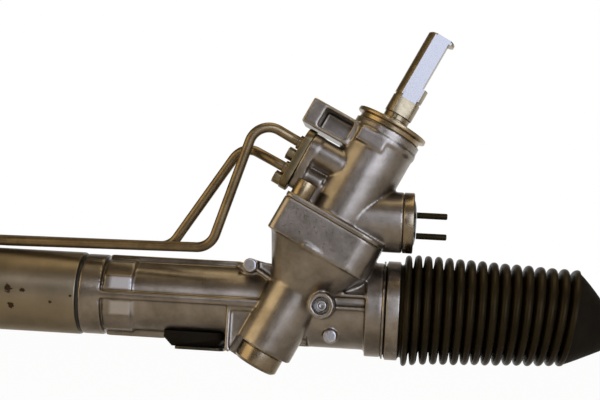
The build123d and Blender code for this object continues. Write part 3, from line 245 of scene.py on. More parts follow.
def vectorNode(tree, operation, vector, fixed=None):
    node = addNode(tree, "ShaderNodeVectorMath", operation=operation)
    tree.links.new(vector, node.inputs[0])
    if fixed is not None:
        node.inputs[1].default_value = fixed
    return node


def splitVector(tree, vector):
    node = addNode(tree, "ShaderNodeSeparateXYZ")
    tree.links.new(vector, node.inputs["Vector"])
    return node.outputs


def spread(tree, value, low, high, lowOut=0.0, highOut=1.0):
    node = addNode(tree, "ShaderNodeMapRange")
    tree.links.new(value, node.inputs["Value"])
    for key, number in (("From Min", low), ("From Max", high), ("To Min", lowOut), ("To Max", highOut)):
        node.inputs[key].default_value = number
    return node.outputs["Result"]


def mixColors(tree, factor, first, second):
    node = tree.nodes.new("ShaderNodeMix")
    node.data_type = "RGBA"
    tree.links.new(factor, node.inputs["Factor"])
    for key, color in (("A", first), ("B", second)):
        socket = [s for s in node.inputs if s.name == key and s.type == "RGBA"][0]
        if isinstance(color, tuple):
            socket.default_value = (*color, 1)
        else:
            tree.links.new(color, socket)
    return [s for s in node.outputs if s.type == "RGBA"][0]


def mixShaders(tree, factor, first, second, outputName):
    node = addNode(tree, "ShaderNodeMixShader")
    for socket, value in zip(node.inputs, (factor, first, second)):
        tree.links.new(value, socket)
    tree.links.new(node.outputs["Shader"], tree.nodes[outputName].inputs["Surface"])


def newMaterial(name):
    material = bpy.data.materials.new(name)
    material.use_nodes = True
    tree = material.node_tree
    shader = next(n for n in tree.nodes if n.type == "BSDF_PRINCIPLED")
    place = addNode(tree, "ShaderNodeTexCoord").outputs["Object"]
    return material, tree, shader, place


def partsOf(material):
    # what a pattern on top of a finished material needs: tree, colour input, place and present colour
    tree = material.node_tree
    colorInput = next(n for n in tree.nodes if n.type == "BSDF_PRINCIPLED").inputs["Base Color"]
    place = next(n for n in tree.nodes if n.type == "TEX_COORD").outputs["Object"]
    return tree, colorInput, place, colorInput.links[0].from_socket


def noiseAt(tree, place, size, detail=3, stretch=(1, 1, 1)):
    # noise whose features are about the size, drawn out along an axis by stretch
    scale = addNode(tree, "ShaderNodeMapping")
    scale.inputs["Scale"].default_value = [1000 / size / s for s in stretch]
    tree.links.new(place, scale.inputs["Vector"])
    noise = addNode(tree, "ShaderNodeTexNoise", Scale=1.0, Detail=detail, Roughness=0.6)
    tree.links.new(scale.outputs["Vector"], noise.inputs["Vector"])
    return noise.outputs["Fac"]


def bumpFrom(tree, shader, layers):
    # layers: (height, strength, distance), each stacked on the one before
    normal = None
    for height, strength, distance in layers:
        bump = addNode(tree, "ShaderNodeBump", Strength=strength, Distance=distance * mm)
        tree.links.new(height, bump.inputs["Height"])
        if normal is not None:
            tree.links.new(normal, bump.inputs["Normal"])
        normal = bump.outputs["Normal"]
    tree.links.new(normal, shader.inputs["Normal"])


# The part of a pattern's range that is spread over a whole step, and how strongly it lifts the surface
metalLook = {
    "patches": (0.35, 0.65), "fine": (0.3, 0.7), "worn": (0.52, 0.60),
    "patchBump": (0.25, 0.25), "fineBump": 0.6,
}
softLook = {"patches": (0.3, 0.7), "fineBump": 0.5}


def metalFinish(name, light, dark, rough, grain, depth, patch=22, stretch=(1, 1, 1), worn=None):
    # patches of two colours, fine grain in the shine and the surface, and a third colour on sharp edges:
    # wear and painted highlight
    material, tree, shader, place = newMaterial(name)
    shader.inputs["Metallic"].default_value = 1.0
    patches = noiseAt(tree, place, patch, 4)
    fine = noiseAt(tree, place, grain, 3, stretch)
    color = mixColors(tree, spread(tree, patches, *metalLook["patches"]), light, dark)
    if worn is not None:
        # wear and painted highlight: convex edges, found by their pointiness, turn to the third colour
        edge = addNode(tree, "ShaderNodeNewGeometry").outputs["Pointiness"]
        color = mixColors(tree, spread(tree, edge, *metalLook["worn"]), color, worn)
    tree.links.new(color, shader.inputs["Base Color"])
    tree.links.new(spread(tree, fine, *metalLook["fine"], *rough), shader.inputs["Roughness"])
    bumpFrom(tree, shader, [(patches, *metalLook["patchBump"]), (fine, metalLook["fineBump"], depth)])
    return material


def softFinish(name, light, dark, rough, grain=0.5, depth=0.02, patch=15, tint=(1, 1, 1), gloss=0.5):
    # patches of two colours with their own shine, fine grain in the surface, tinted highlights
    material, tree, shader, place = newMaterial(name)
    patches = noiseAt(tree, place, patch, 4)
    fine = noiseAt(tree, place, grain, 2)
    color = mixColors(tree, spread(tree, patches, *softLook["patches"]), light, dark)
    tree.links.new(color, shader.inputs["Base Color"])
    tree.links.new(spread(tree, patches, *softLook["patches"], *rough), shader.inputs["Roughness"])
    shader.inputs["Specular Tint"].default_value = (*tint, 1)
    shader.inputs["Specular IOR Level"].default_value = gloss
    bumpFrom(tree, shader, [(fine, softLook["fineBump"], depth)])
    return material


# Finishes, one for each material slot of the record
finishes = {
    # cast aluminium edges go lighter: wear and painted highlight
    "cast_aluminium": metalFinish(
        "castAluminium", (0.35, 0.315, 0.28), (0.19, 0.165, 0.135),
        rough=(0.27, 0.40), grain=0.9, depth=0.035, worn=(0.60, 0.53, 0.42)),
    "machined_aluminium": metalFinish(
        "machinedAluminium", (0.36, 0.30, 0.22), (0.24, 0.195, 0.135),
        rough=(0.22, 0.34), grain=0.5, depth=0.01),
    "tube_steel": metalFinish(
        "tubeSteel", (0.30, 0.255, 0.185), (0.22, 0.185, 0.13),
        rough=(0.34, 0.46), grain=0.35, depth=0.008, patch=30, stretch=(1, 14, 14)),
    "bright_steel": metalFinish(
        "brightSteel", (0.56, 0.55, 0.56), (0.44, 0.43, 0.43),
        rough=(0.20, 0.32), grain=0.4, depth=0.006, patch=18),
    "pipe_steel": metalFinish(
        "pipeSteel", (0.26, 0.20, 0.12), (0.165, 0.125, 0.075),
        rough=(0.30, 0.42), grain=0.6, depth=0.01, patch=12),
    "dark_steel": metalFinish(
        "darkSteel", (0.11, 0.095, 0.065), (0.055, 0.048, 0.034),
        rough=(0.32, 0.48), grain=0.8, depth=0.02, patch=10),
    "spring_steel": metalFinish(
        "springSteel", (0.40, 0.40, 0.41), (0.28, 0.28, 0.29),
        rough=(0.25, 0.35), grain=0.5, depth=0.01),
    "bronze": metalFinish(
        "bronze", (0.55, 0.40, 0.20), (0.42, 0.30, 0.14),
        rough=(0.28, 0.40), grain=0.6, depth=0.01),
    "black_rubber": softFinish(
        "blackRubber", (0.018, 0.0135, 0.0065), (0.008, 0.006, 0.003),
        rough=(0.30, 0.42), patch=12, tint=(0.95, 0.72, 0.36), gloss=0.15),
    "seal_rubber": softFinish("sealRubber", (0.04, 0.04, 0.04), (0.025, 0.025, 0.025), rough=(0.5, 0.6)),
    "black_plastic": softFinish(
        "blackPlastic", (0.022, 0.022, 0.022), (0.014, 0.014, 0.014),
        rough=(0.3, 0.4), grain=0.4, depth=0.01),
    "ball_seat_plastic": softFinish(
        "ballSeatPlastic", (0.72, 0.70, 0.62), (0.66, 0.63, 0.55), rough=(0.4, 0.5)),
}
agedSteel = metalFinish(
    "agedSteel", (0.40, 0.31, 0.19), (0.25, 0.195, 0.12),
    rough=(0.24, 0.36), grain=0.5, depth=0.01, patch=10)
bandSteel = metalFinish(
    "bandSteel", (0.36, 0.33, 0.30), (0.24, 0.20, 0.15),
    rough=(0.26, 0.40), grain=0.4, depth=0.01, patch=9, stretch=(1, 8, 8))
# the clamp's edges turn gold: wear and painted highlight
clampSteel = metalFinish(
    "clampSteel", (0.15, 0.115, 0.06), (0.07, 0.057, 0.034),
    rough=(0.28, 0.45), grain=0.7, depth=0.03, patch=8, worn=(0.5, 0.4, 0.22))
shaftSteel = metalFinish(
    "shaftSteel", (0.36, 0.30, 0.20), (0.22, 0.18, 0.115),
    rough=(0.22, 0.34), grain=0.4, depth=0.01, patch=7)
blackRing = softFinish("blackRing", (0.012, 0.012, 0.011), (0.008, 0.008, 0.008), rough=(0.3, 0.4))
matteRubber = softFinish(
    "matteRubber", (0.010, 0.0085, 0.0065), (0.007, 0.006, 0.005),
    rough=(0.6, 0.75), patch=12, tint=(0.8, 0.6, 0.38), gloss=0.12)


# Where the edge of a mark begins and ends, as shares of its size, and the grain of an uneven one
markEdge = {"spot": (0.95, 1.03), "region": (0.80, 1.12), "grain": 1.6, "noiseMean": 0.5}


def spotted(material, spots, spotColor, uneven):
    # the spot's colour where the distance to a spot, made uneven by noise, is under the spot's radius
    tree, colorInput, place, color = partsOf(material)
    rough = noiseAt(tree, place, markEdge["grain"])
    low, high = markEdge["spot"]
    for x, y, z, radius in spots:
        distance = vectorNode(tree, "DISTANCE", place, (x * mm, y * mm, z * mm)).outputs["Value"]
        reach = mathNode(tree, "MULTIPLY_ADD", rough, uneven * radius * mm, distance)
        limit = radius * (1 + markEdge["noiseMean"] * uneven)
        outside = spread(tree, reach, low * limit * mm, high * limit * mm)
        color = mixColors(tree, outside, spotColor, color)
    tree.links.new(color, colorInput)


def paintedLightRegions(material, regions, litColor):
    # painted light: the lit colour inside each box, where no share of its half sizes, measured from its
    # middle, reaches 1
    tree, colorInput, place, color = partsOf(material)
    for middle, half in regions:
        vector = vectorNode(tree, "SUBTRACT", place, [m * mm for m in middle]).outputs["Vector"]
        vector = vectorNode(tree, "ABSOLUTE", vector).outputs["Vector"]
        vector = vectorNode(tree, "DIVIDE", vector, [h * mm for h in half]).outputs["Vector"]
        shares = splitVector(tree, vector)
        largest = mathNode(tree, "MAXIMUM", shares["X"], shares["Y"])
        largest = mathNode(tree, "MAXIMUM", largest, shares["Z"])
        color = mixColors(tree, spread(tree, largest, *markEdge["region"]), litColor, color)
    tree.links.new(color, colorInput)


tubePits = (
    (-167.5, -25.0, 0.5, 2.3), (-158.9, -25.0, -0.2, 1.4), (-165.5, -23.1, -9.5, 1.9),
    (-141.7, -24.2, -6.3, 1.0), (-129.6, -24.9, -2.0, 0.8),
)
# pale pad faces: partly their machined finish, partly a painted reflection on the flat faces
padFacesMachinedSheen = ((-23.7, -24.0, 22.1, 3.9), (25.6, -24.0, -17.0, 3.9))
spotted(finishes["tube_steel"], tubePits, (0.05, 0.035, 0.02), 3.0)
spotted(finishes["cast_aluminium"], padFacesMachinedSheen, (0.47, 0.46, 0.47), 0.2)

# the flat facets by the seam: machined, and painted paler as a painted reflection
facetSheenRegions = (((-100.0, -24.0, 7.9), (7.2, 6.0, 4.0)), ((-99.4, -24.0, -7.4), (7.2, 6.0, 4.0)))
# painted light: the front faces of the top and bottom ribs, paler as if lit
ribLitRegions = (((-60.0, 5.0, 26.0), (50.0, 8.0, 5.0)), ((-85.0, 5.0, -26.0), (26.0, 8.0, 4.2)))
paintedLightRegions(finishes["cast_aluminium"], facetSheenRegions + ribLitRegions, (0.48, 0.465, 0.47))

slotOf = {part["node"]: part["material_slot"] for part in frame["record"]["subparts"]}
for nodeName, node in nodes.items():
    node.data.materials.clear()
    node.data.materials.append(finishes[slotOf[nodeName]])
print("materials ready,", len(finishes))


def dress(piece, nodeName, body, finish=None):
    # the piece stands for a node, rides on its body and takes its finish
    piece.data.materials.clear()
    piece.data.materials.append(finish or finishes[slotOf[nodeName]])
    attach(piece, body)
    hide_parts(nodeName)
    return piece


# Copies of CAD nodes with eased edges
def bodyOf(nodeName):
    return nodes[nodeName]["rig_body"]


def applied(piece):
    # the piece's mesh with its modifiers worked in
    bpy.context.view_layer.update()
    graph = bpy.context.evaluated_depsgraph_get()
    mesh = bpy.data.meshes.new_from_object(piece.evaluated_get(graph), depsgraph=graph)
    piece.modifiers.clear()
    old, piece.data = piece.data, mesh
    bpy.data.meshes.remove(old)
    return piece


def mergedCopy(name, nodeName, extras=()):
    # the node's loose triangles joined along their edges, with the extra forms beside them
    shell = bmesh.new()
    shell.from_mesh(nodes[nodeName].data)
    bmesh.ops.remove_doubles(shell, verts=shell.verts, dist=weld["node"])
    for extra in extras:
        shell.from_mesh(extra.data)
    mesh = bpy.data.meshes.new(name)
    shell.to_mesh(mesh)
    shell.free()
    for extra in extras:
        bpy.data.objects.remove(extra)
    piece = bpy.data.objects.new(name, mesh)
    bpy.context.scene.collection.objects.link(piece)
    return piece


easedEdges = {
    "flange_screws": 0.5, "pipe_clamp_plate": 0.6, "pipe_clamp_bolts": 0.4, "pipe_unions": 0.5,
    "mount_pad": 1.2, "mount_pad_plate": 0.4, "tube_mount_bush": 1.0, "tube_mount_bracket": 0.5,
    "jam_nut_right": 0.6, "jam_nut_left": 0.6, "yoke_adjuster": 0.8, "yoke_lock_nut": 0.7,
    "cylinder_end_bush": 0.6, "tie_rod_right": 0.4, "tie_rod_left": 0.4,
}
easedFinish = {
    "flange_screws": agedSteel, "pipe_clamp_plate": clampSteel, "pipe_clamp_bolts": clampSteel,
    "mount_pad": matteRubber,
}
easing = {"segments": 3, "bevelAngle": 35, "sharpAngle": 32}
for nodeName, edge in easedEdges.items():
    piece = mergedCopy(nodeName.title().replace("_", "") + "Eased", nodeName)
    smoothed(piece.data)
    bevel = piece.modifiers.new("easedEdge", "BEVEL")
    bevel.width, bevel.segments = edge * mm, easing["segments"]
    bevel.limit_method, bevel.angle_limit = "ANGLE", np.radians(easing["bevelAngle"])
    bevel.use_clamp_overlap = True
    applied(piece).data.set_sharp_from_angle(angle=np.radians(easing["sharpAngle"]))
    dress(piece, nodeName, bodyOf(nodeName), easedFinish.get(nodeName))
print("edges eased on", len(easedEdges), "pieces")

# Power cylinder
steelTube = {
    "profile": [(-397.0, 22.5), (-397.0, 25.0), (-127.2, 25.0), (-127.2, 22.5)],
    "edge": 0.9, "segments": 160,
}
portBlock = {
    "at": ((-208.0, -9.0, 27.9), (-374.0, 8.0, 27.9)),
    "half": (10, 7, 8.3), "edge": 1.2, "foot": 23.7,
}
portBlocks = []
for middle in portBlock["at"]:
    # the block's foot follows the tube's wall, inside it and clear of the bore
    block, *closing = boxSurface(middle, worldAxes, portBlock["half"], portBlock["edge"])
    block[..., 2] = np.maximum(block[..., 2], np.sqrt(portBlock["foot"] ** 2 - block[..., 1] ** 2))
    portBlocks.append((block, *closing))
dress(turned("steelTube", origin, worldX, steelTube, portBlocks), "cylinder_tube", "housing")

seamRing = {
    "profile": [(-127.15, 22.5), (-127.15, 24.1), (-125.45, 24.1), (-125.45, 22.5)],
    "edge": 0.3, "segments": 128,
}
dress(turned("seamRing", origin, worldX, seamRing), "seam_ring", "housing", blackRing)
print("power cylinder ready")

# Feed pipes: from the clamp plate over the flange, down to the cylinder and along it to their ports
pipes = {
    "radius": 3.0, "bend": 12.0, "plate": (36.2, 47.2), "plateY": -8.6, "low": 31.2, "level": 29.2,
    "beadAt": (40.1, 40.6, 42.4, 43.0), "beadRadius": (3.0, 4.3, 4.3, 3.0), "run": (24, -9),
    "front": {
        "t": 86.5, "reach": 33.6, "overY": -31.0, "lowAt": (-48.0, -22.0), "port": (-198.0, -9.0),
        "overStrap": (),
    },
    "rear": {
        "t": 69.3, "reach": 35.4, "overY": -17.0, "lowAt": (-74.0, -9.0), "port": (-364.0, 8.0),
        "overStrap": ((-270.0, 29.2), (-284.0, 42.0), (-338.0, 42.0)),
    },
}
for side in ("front", "rear"):
    pipe = pipes[side]
    portX, portY = pipe["port"]
    corners = [towerPoint(-n, pipes["plateY"], pipe["t"]) for n in pipes["plate"]]
    corners.append(towerPoint(-pipes["plate"][0] - pipe["reach"], pipe["overY"] - towerBase[1], pipe["t"]))
    corners.append(np.array([*pipe["lowAt"], pipes["low"]]))
    corners += [np.array([x, portY, z]) for x, z in pipe["overStrap"]]
    corners += [np.array([portX + step, portY, pipes["level"]]) for step in pipes["run"]]
    path = bentPath(corners, pipes["bend"])
    beadPath = np.array([towerPoint(-n, pipes["plateY"], pipe["t"]) for n in pipes["beadAt"]])
    surfaces = [tubeSurface(path, pipes["radius"]), tubeSurface(beadPath, pipes["beadRadius"])]
    dress(gridMesh(side + "FeedPipe", surfaces), "feed_pipe_" + side, "housing")
print("feed pipes ready")

# Valve head: disc, input shaft, solenoid end
dustDisc = {
    "profile": [
        (121.8, 9.05), (121.8, 14.1), (118.6, 14.1), (118.6, 19.5), (121.4, 19.5), (121.8, 22.3),
        (124.1, 22.3), (124.1, 17.5), (123.5, 16.5), (123.5, 11.5), (124.1, 10.5), (124.1, 9.05),
    ],
    "edge": 0.5, "segments": 128,
}
dress(turned("dustDisc", towerBase, axisUp, dustDisc), "dust_cover", "housing", agedSteel)

inputShaft = {
    "round": 8.7, "outerFrom": 5.0, "segments": 180, "sharpAngle": 30,
    "flatHalf": 5.7, "flatTurn": -11.0, "flatFrom": 140.3,
    "notch": 5.3, "notchFrom": 150.5, "notchTo": 181.0,
    "rows": [
        (33, 3.15), (33, 8.9), (46, 8.9), (46, 12.0), (96.9, 12.0), (96.9, 9.0), (124.4, 9.0), (124.6, 8.7),
        (126.4, 8.7), (127.0, 8.0), (129.4, 8.0), (130.0, 8.7), (140.4, 8.7), (140.6, 8.1), (141.9, 8.1),
        (142.1, 8.7), (150.4, 8.7), (150.6, 8.7), (180.9, 8.7), (181.1, 8.7), (182.6, 8.7), (183.5, 7.8),
        (183.5, 3.15), (176, 3.15),
    ],
}
flatTurn = np.radians(inputShaft["flatTurn"])
flatDepth = np.sqrt(inputShaft["round"] ** 2 - inputShaft["flatHalf"] ** 2)


def shaftRadius(s, r, angle):
    # the round section, cut back to d / cos(a) on the flat and on the notch side, a from the cut's normal
    shape, farOut, small = inputShaft, 99, 1e-3
    first, second = crossAxes(axisUp)
    across = np.cos(angle) * (first @ axisAcross) + np.sin(angle) * (second @ axisAcross)
    front = -(np.cos(angle) * first[1] + np.sin(angle) * second[1])
    toFlat = front * np.cos(flatTurn) - across * np.sin(flatTurn)
    flat = np.where(toFlat > small, flatDepth / np.maximum(toFlat, small), farOut)
    notch = np.where(across > small, shape["notch"] / np.maximum(across, small), farOut)
    outer = r > shape["outerFrom"]
    r = np.where((s > shape["flatFrom"]) & outer, np.minimum(r, flat), r)
    return np.where((s > shape["notchFrom"]) & (s < shape["notchTo"]) & outer, np.minimum(r, notch), r)


def paintedFlatHighlight(material, color):
    # painted highlight: the given colour where the point lies on the shaft's flat, above its foot and at its
    # depth from the axis
    tree, colorInput, place, old = partsOf(material)
    outward = -np.cos(flatTurn) * axisBack - np.sin(flatTurn) * axisAcross
    slack, edge, inside = 0.15, 0.03, []
    for axis, least in ((outward, flatDepth - slack), (axisUp, inputShaft["flatFrom"])):
        reach = vectorNode(tree, "DOT_PRODUCT", place, axis.tolist()).outputs["Value"]
        limit = (least + towerBase @ axis) * mm
        inside.append(spread(tree, reach, limit - edge * mm, limit + edge * mm))
    tree.links.new(mixColors(tree, mathNode(tree, "MULTIPLY", *inside), old, color), colorInput)


shaftRows = np.array(inputShaft["rows"], float)
shaftSurface = turnedSurface(towerBase, axisUp, shaftRows, inputShaft["segments"], shaftRadius)
shaft = gridMesh("inputShaft", [(shaftSurface, True, True, False)], inputShaft["sharpAngle"])
dress(shaft, "input_shaft", "input", shaftSteel)
# painted reflection: the shaft's flat, which faces the lamps, takes a cooler grey than the round steel
paintedFlatHighlight(shaftSteel, (0.27, 0.262, 0.262))

solenoidEnd = {
    "profile": [(65.05, 14.25), (65.05, 18.0), (71.3, 18.0), (71.3, 14.25)],
    "edge": 0.9, "segments": 128,
}
leadGrommet = {
    "profile": [(65.05, 0.01), (65.05, 14.2), (71.0, 14.2), (71.9, 12.8), (72.6, 9.0), (72.9, 0.01)],
    "edge": 0.8, "segments": 96,
}
solenoidLeads = {
    "from": 72.95, "length": 18, "heights": (57.0, 44.8), "segments": 24,
    "shares": (0, 0.02, 0.04, 0.5, 0.96, 0.985, 1.0),
    "radii": (1.85, 1.85, 1.85, 1.85, 1.85, 1.7, 1.3),
}
dress(turned("solenoidEnd", bossBase, worldX, solenoidEnd), "solenoid_cover", "housing")
dress(turned("leadGrommet", bossBase, worldX, leadGrommet), "lead_grommet", "housing")
leads = []
for height in solenoidLeads["heights"]:
    along = solenoidLeads["from"] + solenoidLeads["length"] * np.array(solenoidLeads["shares"])
    leadPath = np.array([(x, bossBase[1], height) for x in along])
    leads.append(tubeSurface(leadPath, solenoidLeads["radii"], solenoidLeads["segments"]))
dress(gridMesh("solenoidLeads", leads), "solenoid_leads", "housing")
print("valve head ready")

# Tower foot and breather
pinionCap = {
    "profile": [
        (-41, 0.01), (-41, 11.6), (-39.4, 13.5), (-30.9, 13.5), (-30.9, 12.8), (-30.2, 12.8),
        (-30.2, 14.5), (-27.55, 14.5), (-27.55, 8.6), (-36, 8.6), (-36, 0.01),
    ],
    "edge": 0.4, "segments": 128,
}
breatherNipple = {
    "base": np.array([20.4, 0.0, 0.7]),
    "profile": [
        (30.1, 0.01), (30.1, 4.9), (31.5, 4.9), (31.5, 3.0), (40.5, 3.0), (40.5, 1.7), (33, 1.7), (33, 0.01),
    ],
    "edge": 0.3, "segments": 64,
}
dress(turned("pinionCap", towerBase, axisUp, pinionCap), "pinion_cap", "housing")
nipple = turned("breatherNipple", breatherNipple["base"], -axisBack, breatherNipple)
dress(nipple, "breather_nipple", "housing")

# Bellows: s runs outwards from the stop of the housing, the same way on both sides
bellowsStops = (("right", 1, 54.8), ("left", -1, -403.0))
bellowsShape = {
    "crests": 16, "firstCrest": 14.8, "lastCrest": 111.0, "firstRadius": 33.2, "lastRadius": 28.8,
    "spacing": 1.05, "before": 0.42, "after": 0.18, "rows": 442, "segments": 128,
    "depth": 7.6, "bead": 2.5, "half": 0.36, "blendFrom": 0.93, "wall": 1.3,
    "wobble": 0.0035, "wobbleFrom": 12, "wobbleWaves": (3, 0.7),
    "cuff": ((2.1, 27.6), (2.5, 28.35), (10.9, 28.35), (11.4, 27.6)), "cuffBore": 26.1,
    "lean": (0.01, 0.15), "leanStart": (11, 4), "leanOver": (14, 97), "rise": 1.5, "riseOver": (11, 12),
    "sharpAngle": 60,
}
coneShape = {
    "from": 111.6, "neck": 136.0, "wide": 27.9, "narrow": 9.3, "curve": 1.15, "wall": 1.4, "bore": 7.35,
    "bendOver": (111, 20),
    "lip": ((110.9, 25.4), (111.2, 27.2)), "sleeve": ((1, 9.3), (11.2, 9.3), (12, 8.7)), "rows": 40,
}
tieRod = {"ball": 95.2, "droop": np.radians(6)}
bellowsJoin = {"cuffEnd": 11, "lastFold": 112, "neckEnd": 134}
roundAngle = np.linspace(0, 2 * np.pi, bellowsShape["segments"], endpoint=False)


def share(value, start, length):
    return np.clip((value - start) / length, 0, 1)


def leanedSurface(side, stopX, s, radius, lean, lift):
    # x = stop + side (s + lean r sin a), y = r cos a, z = r sin a + lift
    y = radius * np.cos(roundAngle)
    z = radius * np.sin(roundAngle)
    x = stopX + side * (s + lean * z)
    return (np.stack([x + 0 * y, y, z + lift], -1), True, True, False)


def foldSurface(side, stopX):
    # crest k at first + span (k/15)^1.05; q = distance to the nearest crest in pitches
    # drop = bead (1 - sqrt(1 - (q/half)^2)) up to half, then a smooth step down to the valley's depth
    # planes lean by x += lean z, and the middle line rises a little past the clamp
    shape = bellowsShape
    last = shape["crests"] - 1
    k = np.linspace(-shape["before"], last + shape["after"], shape["rows"])
    span = shape["lastCrest"] - shape["firstCrest"]
    station = shape["firstCrest"] + span * np.sign(k) * (np.abs(k) / last) ** shape["spacing"]
    crest = shape["firstRadius"] + (shape["lastRadius"] - shape["firstRadius"]) * np.clip(k, 0, last) / last
    q = np.abs(k - np.round(k))
    bead = shape["bead"] * (1 - np.sqrt(1 - np.minimum(q / shape["half"], 1) ** 2))
    stepFrom = shape["blendFrom"] * shape["half"]
    u = share(q, stepFrom, 0.5 - stepFrom)
    radius = crest - bead - (shape["depth"] - shape["bead"]) * u * u * (3 - 2 * u)
    cuffS, cuffR = np.transpose(shape["cuff"])
    inner = np.concatenate([np.full(len(cuffS), shape["cuffBore"]), radius - shape["wall"]])
    station = np.concatenate([cuffS, station])
    radius = np.concatenate([cuffR, radius])
    s = np.r_[station, station[::-1]][:, None]
    around, along = shape["wobbleWaves"]
    wobble = np.sin(around * roundAngle[None] + along * s) * (s > shape["wobbleFrom"])
    wobble = 1 + shape["wobble"] * wobble
    low, high = shape["lean"]
    lean = (low + (high - low) * share(s, *shape["leanOver"]) ** 2) * share(s, *shape["leanStart"])
    lift = shape["rise"] * share(s, *shape["riseOver"])
    return leanedSurface(side, stopX, s, np.r_[radius, inner[::-1]][:, None] * wobble, lean, lift)


def coneSurface(side, stopX):
    # radius falls from the last crest to the neck with u^1.15, centre line bending into the tie rod's droop
    shape = coneShape
    u = np.linspace(0, 1, shape["rows"])
    lipS, lipR = np.transpose(shape["lip"])
    sleeveS, sleeveR = np.transpose(shape["sleeve"])
    station = shape["from"] + (shape["neck"] - shape["from"]) * u
    radius = shape["wide"] + (shape["narrow"] - shape["wide"]) * u ** shape["curve"]
    station = np.concatenate([lipS, station, shape["neck"] + sleeveS])
    radius = np.concatenate([lipR, radius, sleeveR])
    inner = np.maximum(radius - shape["wall"], shape["bore"])
    s = np.r_[station, station[::-1]][:, None]
    droop = np.tan(tieRod["droop"])
    bend = share(s, *shape["bendOver"])
    lean = bellowsShape["lean"][1] + (droop - bellowsShape["lean"][1]) * bend
    neckEnd, lastFold = bellowsJoin["neckEnd"], bellowsJoin["lastFold"]
    fade = np.clip((neckEnd - s) / (neckEnd - lastFold), 0, 1)
    lift = -droop * (s - tieRod["ball"]) * bend + bellowsShape["rise"] * fade
    return leanedSurface(side, stopX, s, np.r_[radius, inner[::-1]][:, None], lean, lift)


bellowsClamp = {
    "profile": [(2.8, 28.45), (2.8, 29.3), (3.4, 29.6), (10.0, 29.6), (10.6, 29.3), (10.6, 28.45)],
    "edge": 0.25, "segments": 128,
    "ear": {"s": 6.7, "y": 30.9, "half": (3.8, 2.1, 3.5), "edge": 0.6},
    "crimp": [(0.6, 28.0), (0.6, 28.9), (1.2, 29.2), (1.7, 28.9), (1.7, 28.0)],
    "crimpSegments": 180, "crimpOuter": 28.5, "uneven": 0.35,
    "waves": {"many": 23, "sway": 5, "swayBy": 3, "few": 7, "phase": 2},
}
neckClamp = {
    "profile": [(45.1, 9.6), (45.1, 10.8), (50.5, 10.8), (50.5, 9.6)],
    "edge": 0.4, "segments": 64,
}


def crimpRadius(s, r, angle):
    # the crimped edge: two sine waves of unlike count, on the outer rows only
    waves = bellowsClamp["waves"]
    swayed = waves["many"] * angle + waves["swayBy"] * np.sin(waves["sway"] * angle)
    wave = np.sin(swayed) * np.sin(waves["few"] * angle + waves["phase"])
    return r + bellowsClamp["uneven"] * wave * (r > bellowsClamp["crimpOuter"])


for sideName, side, stopX in bellowsStops:
    rod = sideName + "_tie_rod"
    folds = gridMesh(sideName + "Folds", [foldSurface(side, stopX)], bellowsShape["sharpAngle"])
    cone = gridMesh(sideName + "Cone", [coneSurface(side, stopX)], bellowsShape["sharpAngle"])
    for piece, rubber in ((folds, finishes["black_rubber"]), (cone, matteRubber)):
        piece.data.materials.append(rubber)
        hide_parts("bellows_" + sideName)
    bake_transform(folds)
    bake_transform(cone)

    base = np.array([stopX, 0, 0])
    crimpRows = np.array(bellowsClamp["crimp"])
    crimp = turnedSurface(base, side * worldX, crimpRows, bellowsClamp["crimpSegments"], crimpRadius)
    ear = bellowsClamp["ear"]
    earBox = boxSurface((stopX + side * ear["s"], ear["y"], 0.0), worldAxes, ear["half"], ear["edge"])
    extra = [earBox, (crimp, True, True, False)]
    clamp = turned(sideName + "BellowsClamp", base, side * worldX, bellowsClamp, extra)
    dress(clamp, "bellows_clamp_" + sideName, "housing", bandSteel)

    rodAxis = np.array([side * np.cos(tieRod["droop"]), 0, -np.sin(tieRod["droop"])])
    ball = np.array([stopX + side * tieRod["ball"], 0, 0])
    dress(turned(sideName + "NeckClamp", ball, rodAxis, neckClamp), "neck_clamp_" + sideName, rod)
print("bellows ready")

# Castings: node copy and extra forms made one skin
casting = {"voxel": 0.75, "pull": 0.5, "rounds": 5, "most": 95000}


def castSkin(name, nodeName, extras=()):
    # voxels join the forms, averaging with the neighbours eases every edge and inner corner
    piece = mergedCopy(name, nodeName, extras)
    skin = piece.modifiers.new("skin", "REMESH")
    skin.mode, skin.voxel_size = "VOXEL", casting["voxel"] * mm
    ease = piece.modifiers.new("ease", "SMOOTH")
    ease.factor, ease.iterations = casting["pull"], casting["rounds"]
    applied(piece)
    if len(piece.data.polygons) > casting["most"]:
        thin = piece.modifiers.new("thin", "DECIMATE")
        thin.ratio = casting["most"] / len(piece.data.polygons)
        applied(piece)
    smoothed(piece.data)
    return dress(piece, nodeName, "housing")


flangeLedge = {"from": (8.5, -41.6, 35.4), "to": (25.0, -41.6, 26.8), "radius": (2.9, 2.7, 2.2, 1.2)}
ledgeShare = np.linspace(0, 1, len(flangeLedge["radius"]))[:, None]
ledgePath = np.array(flangeLedge["from"]) * (1 - ledgeShare) + np.array(flangeLedge["to"]) * ledgeShare
ledge = gridMesh("flangeLedge", [tubeSurface(ledgePath, flangeLedge["radius"])])
gearHousing = castSkin("gearHousing", "gear_housing", [ledge])
valveBody = castSkin("valveBody", "valve_body")
print("castings ready,", len(gearHousing.data.polygons), len(valveBody.data.polygons))

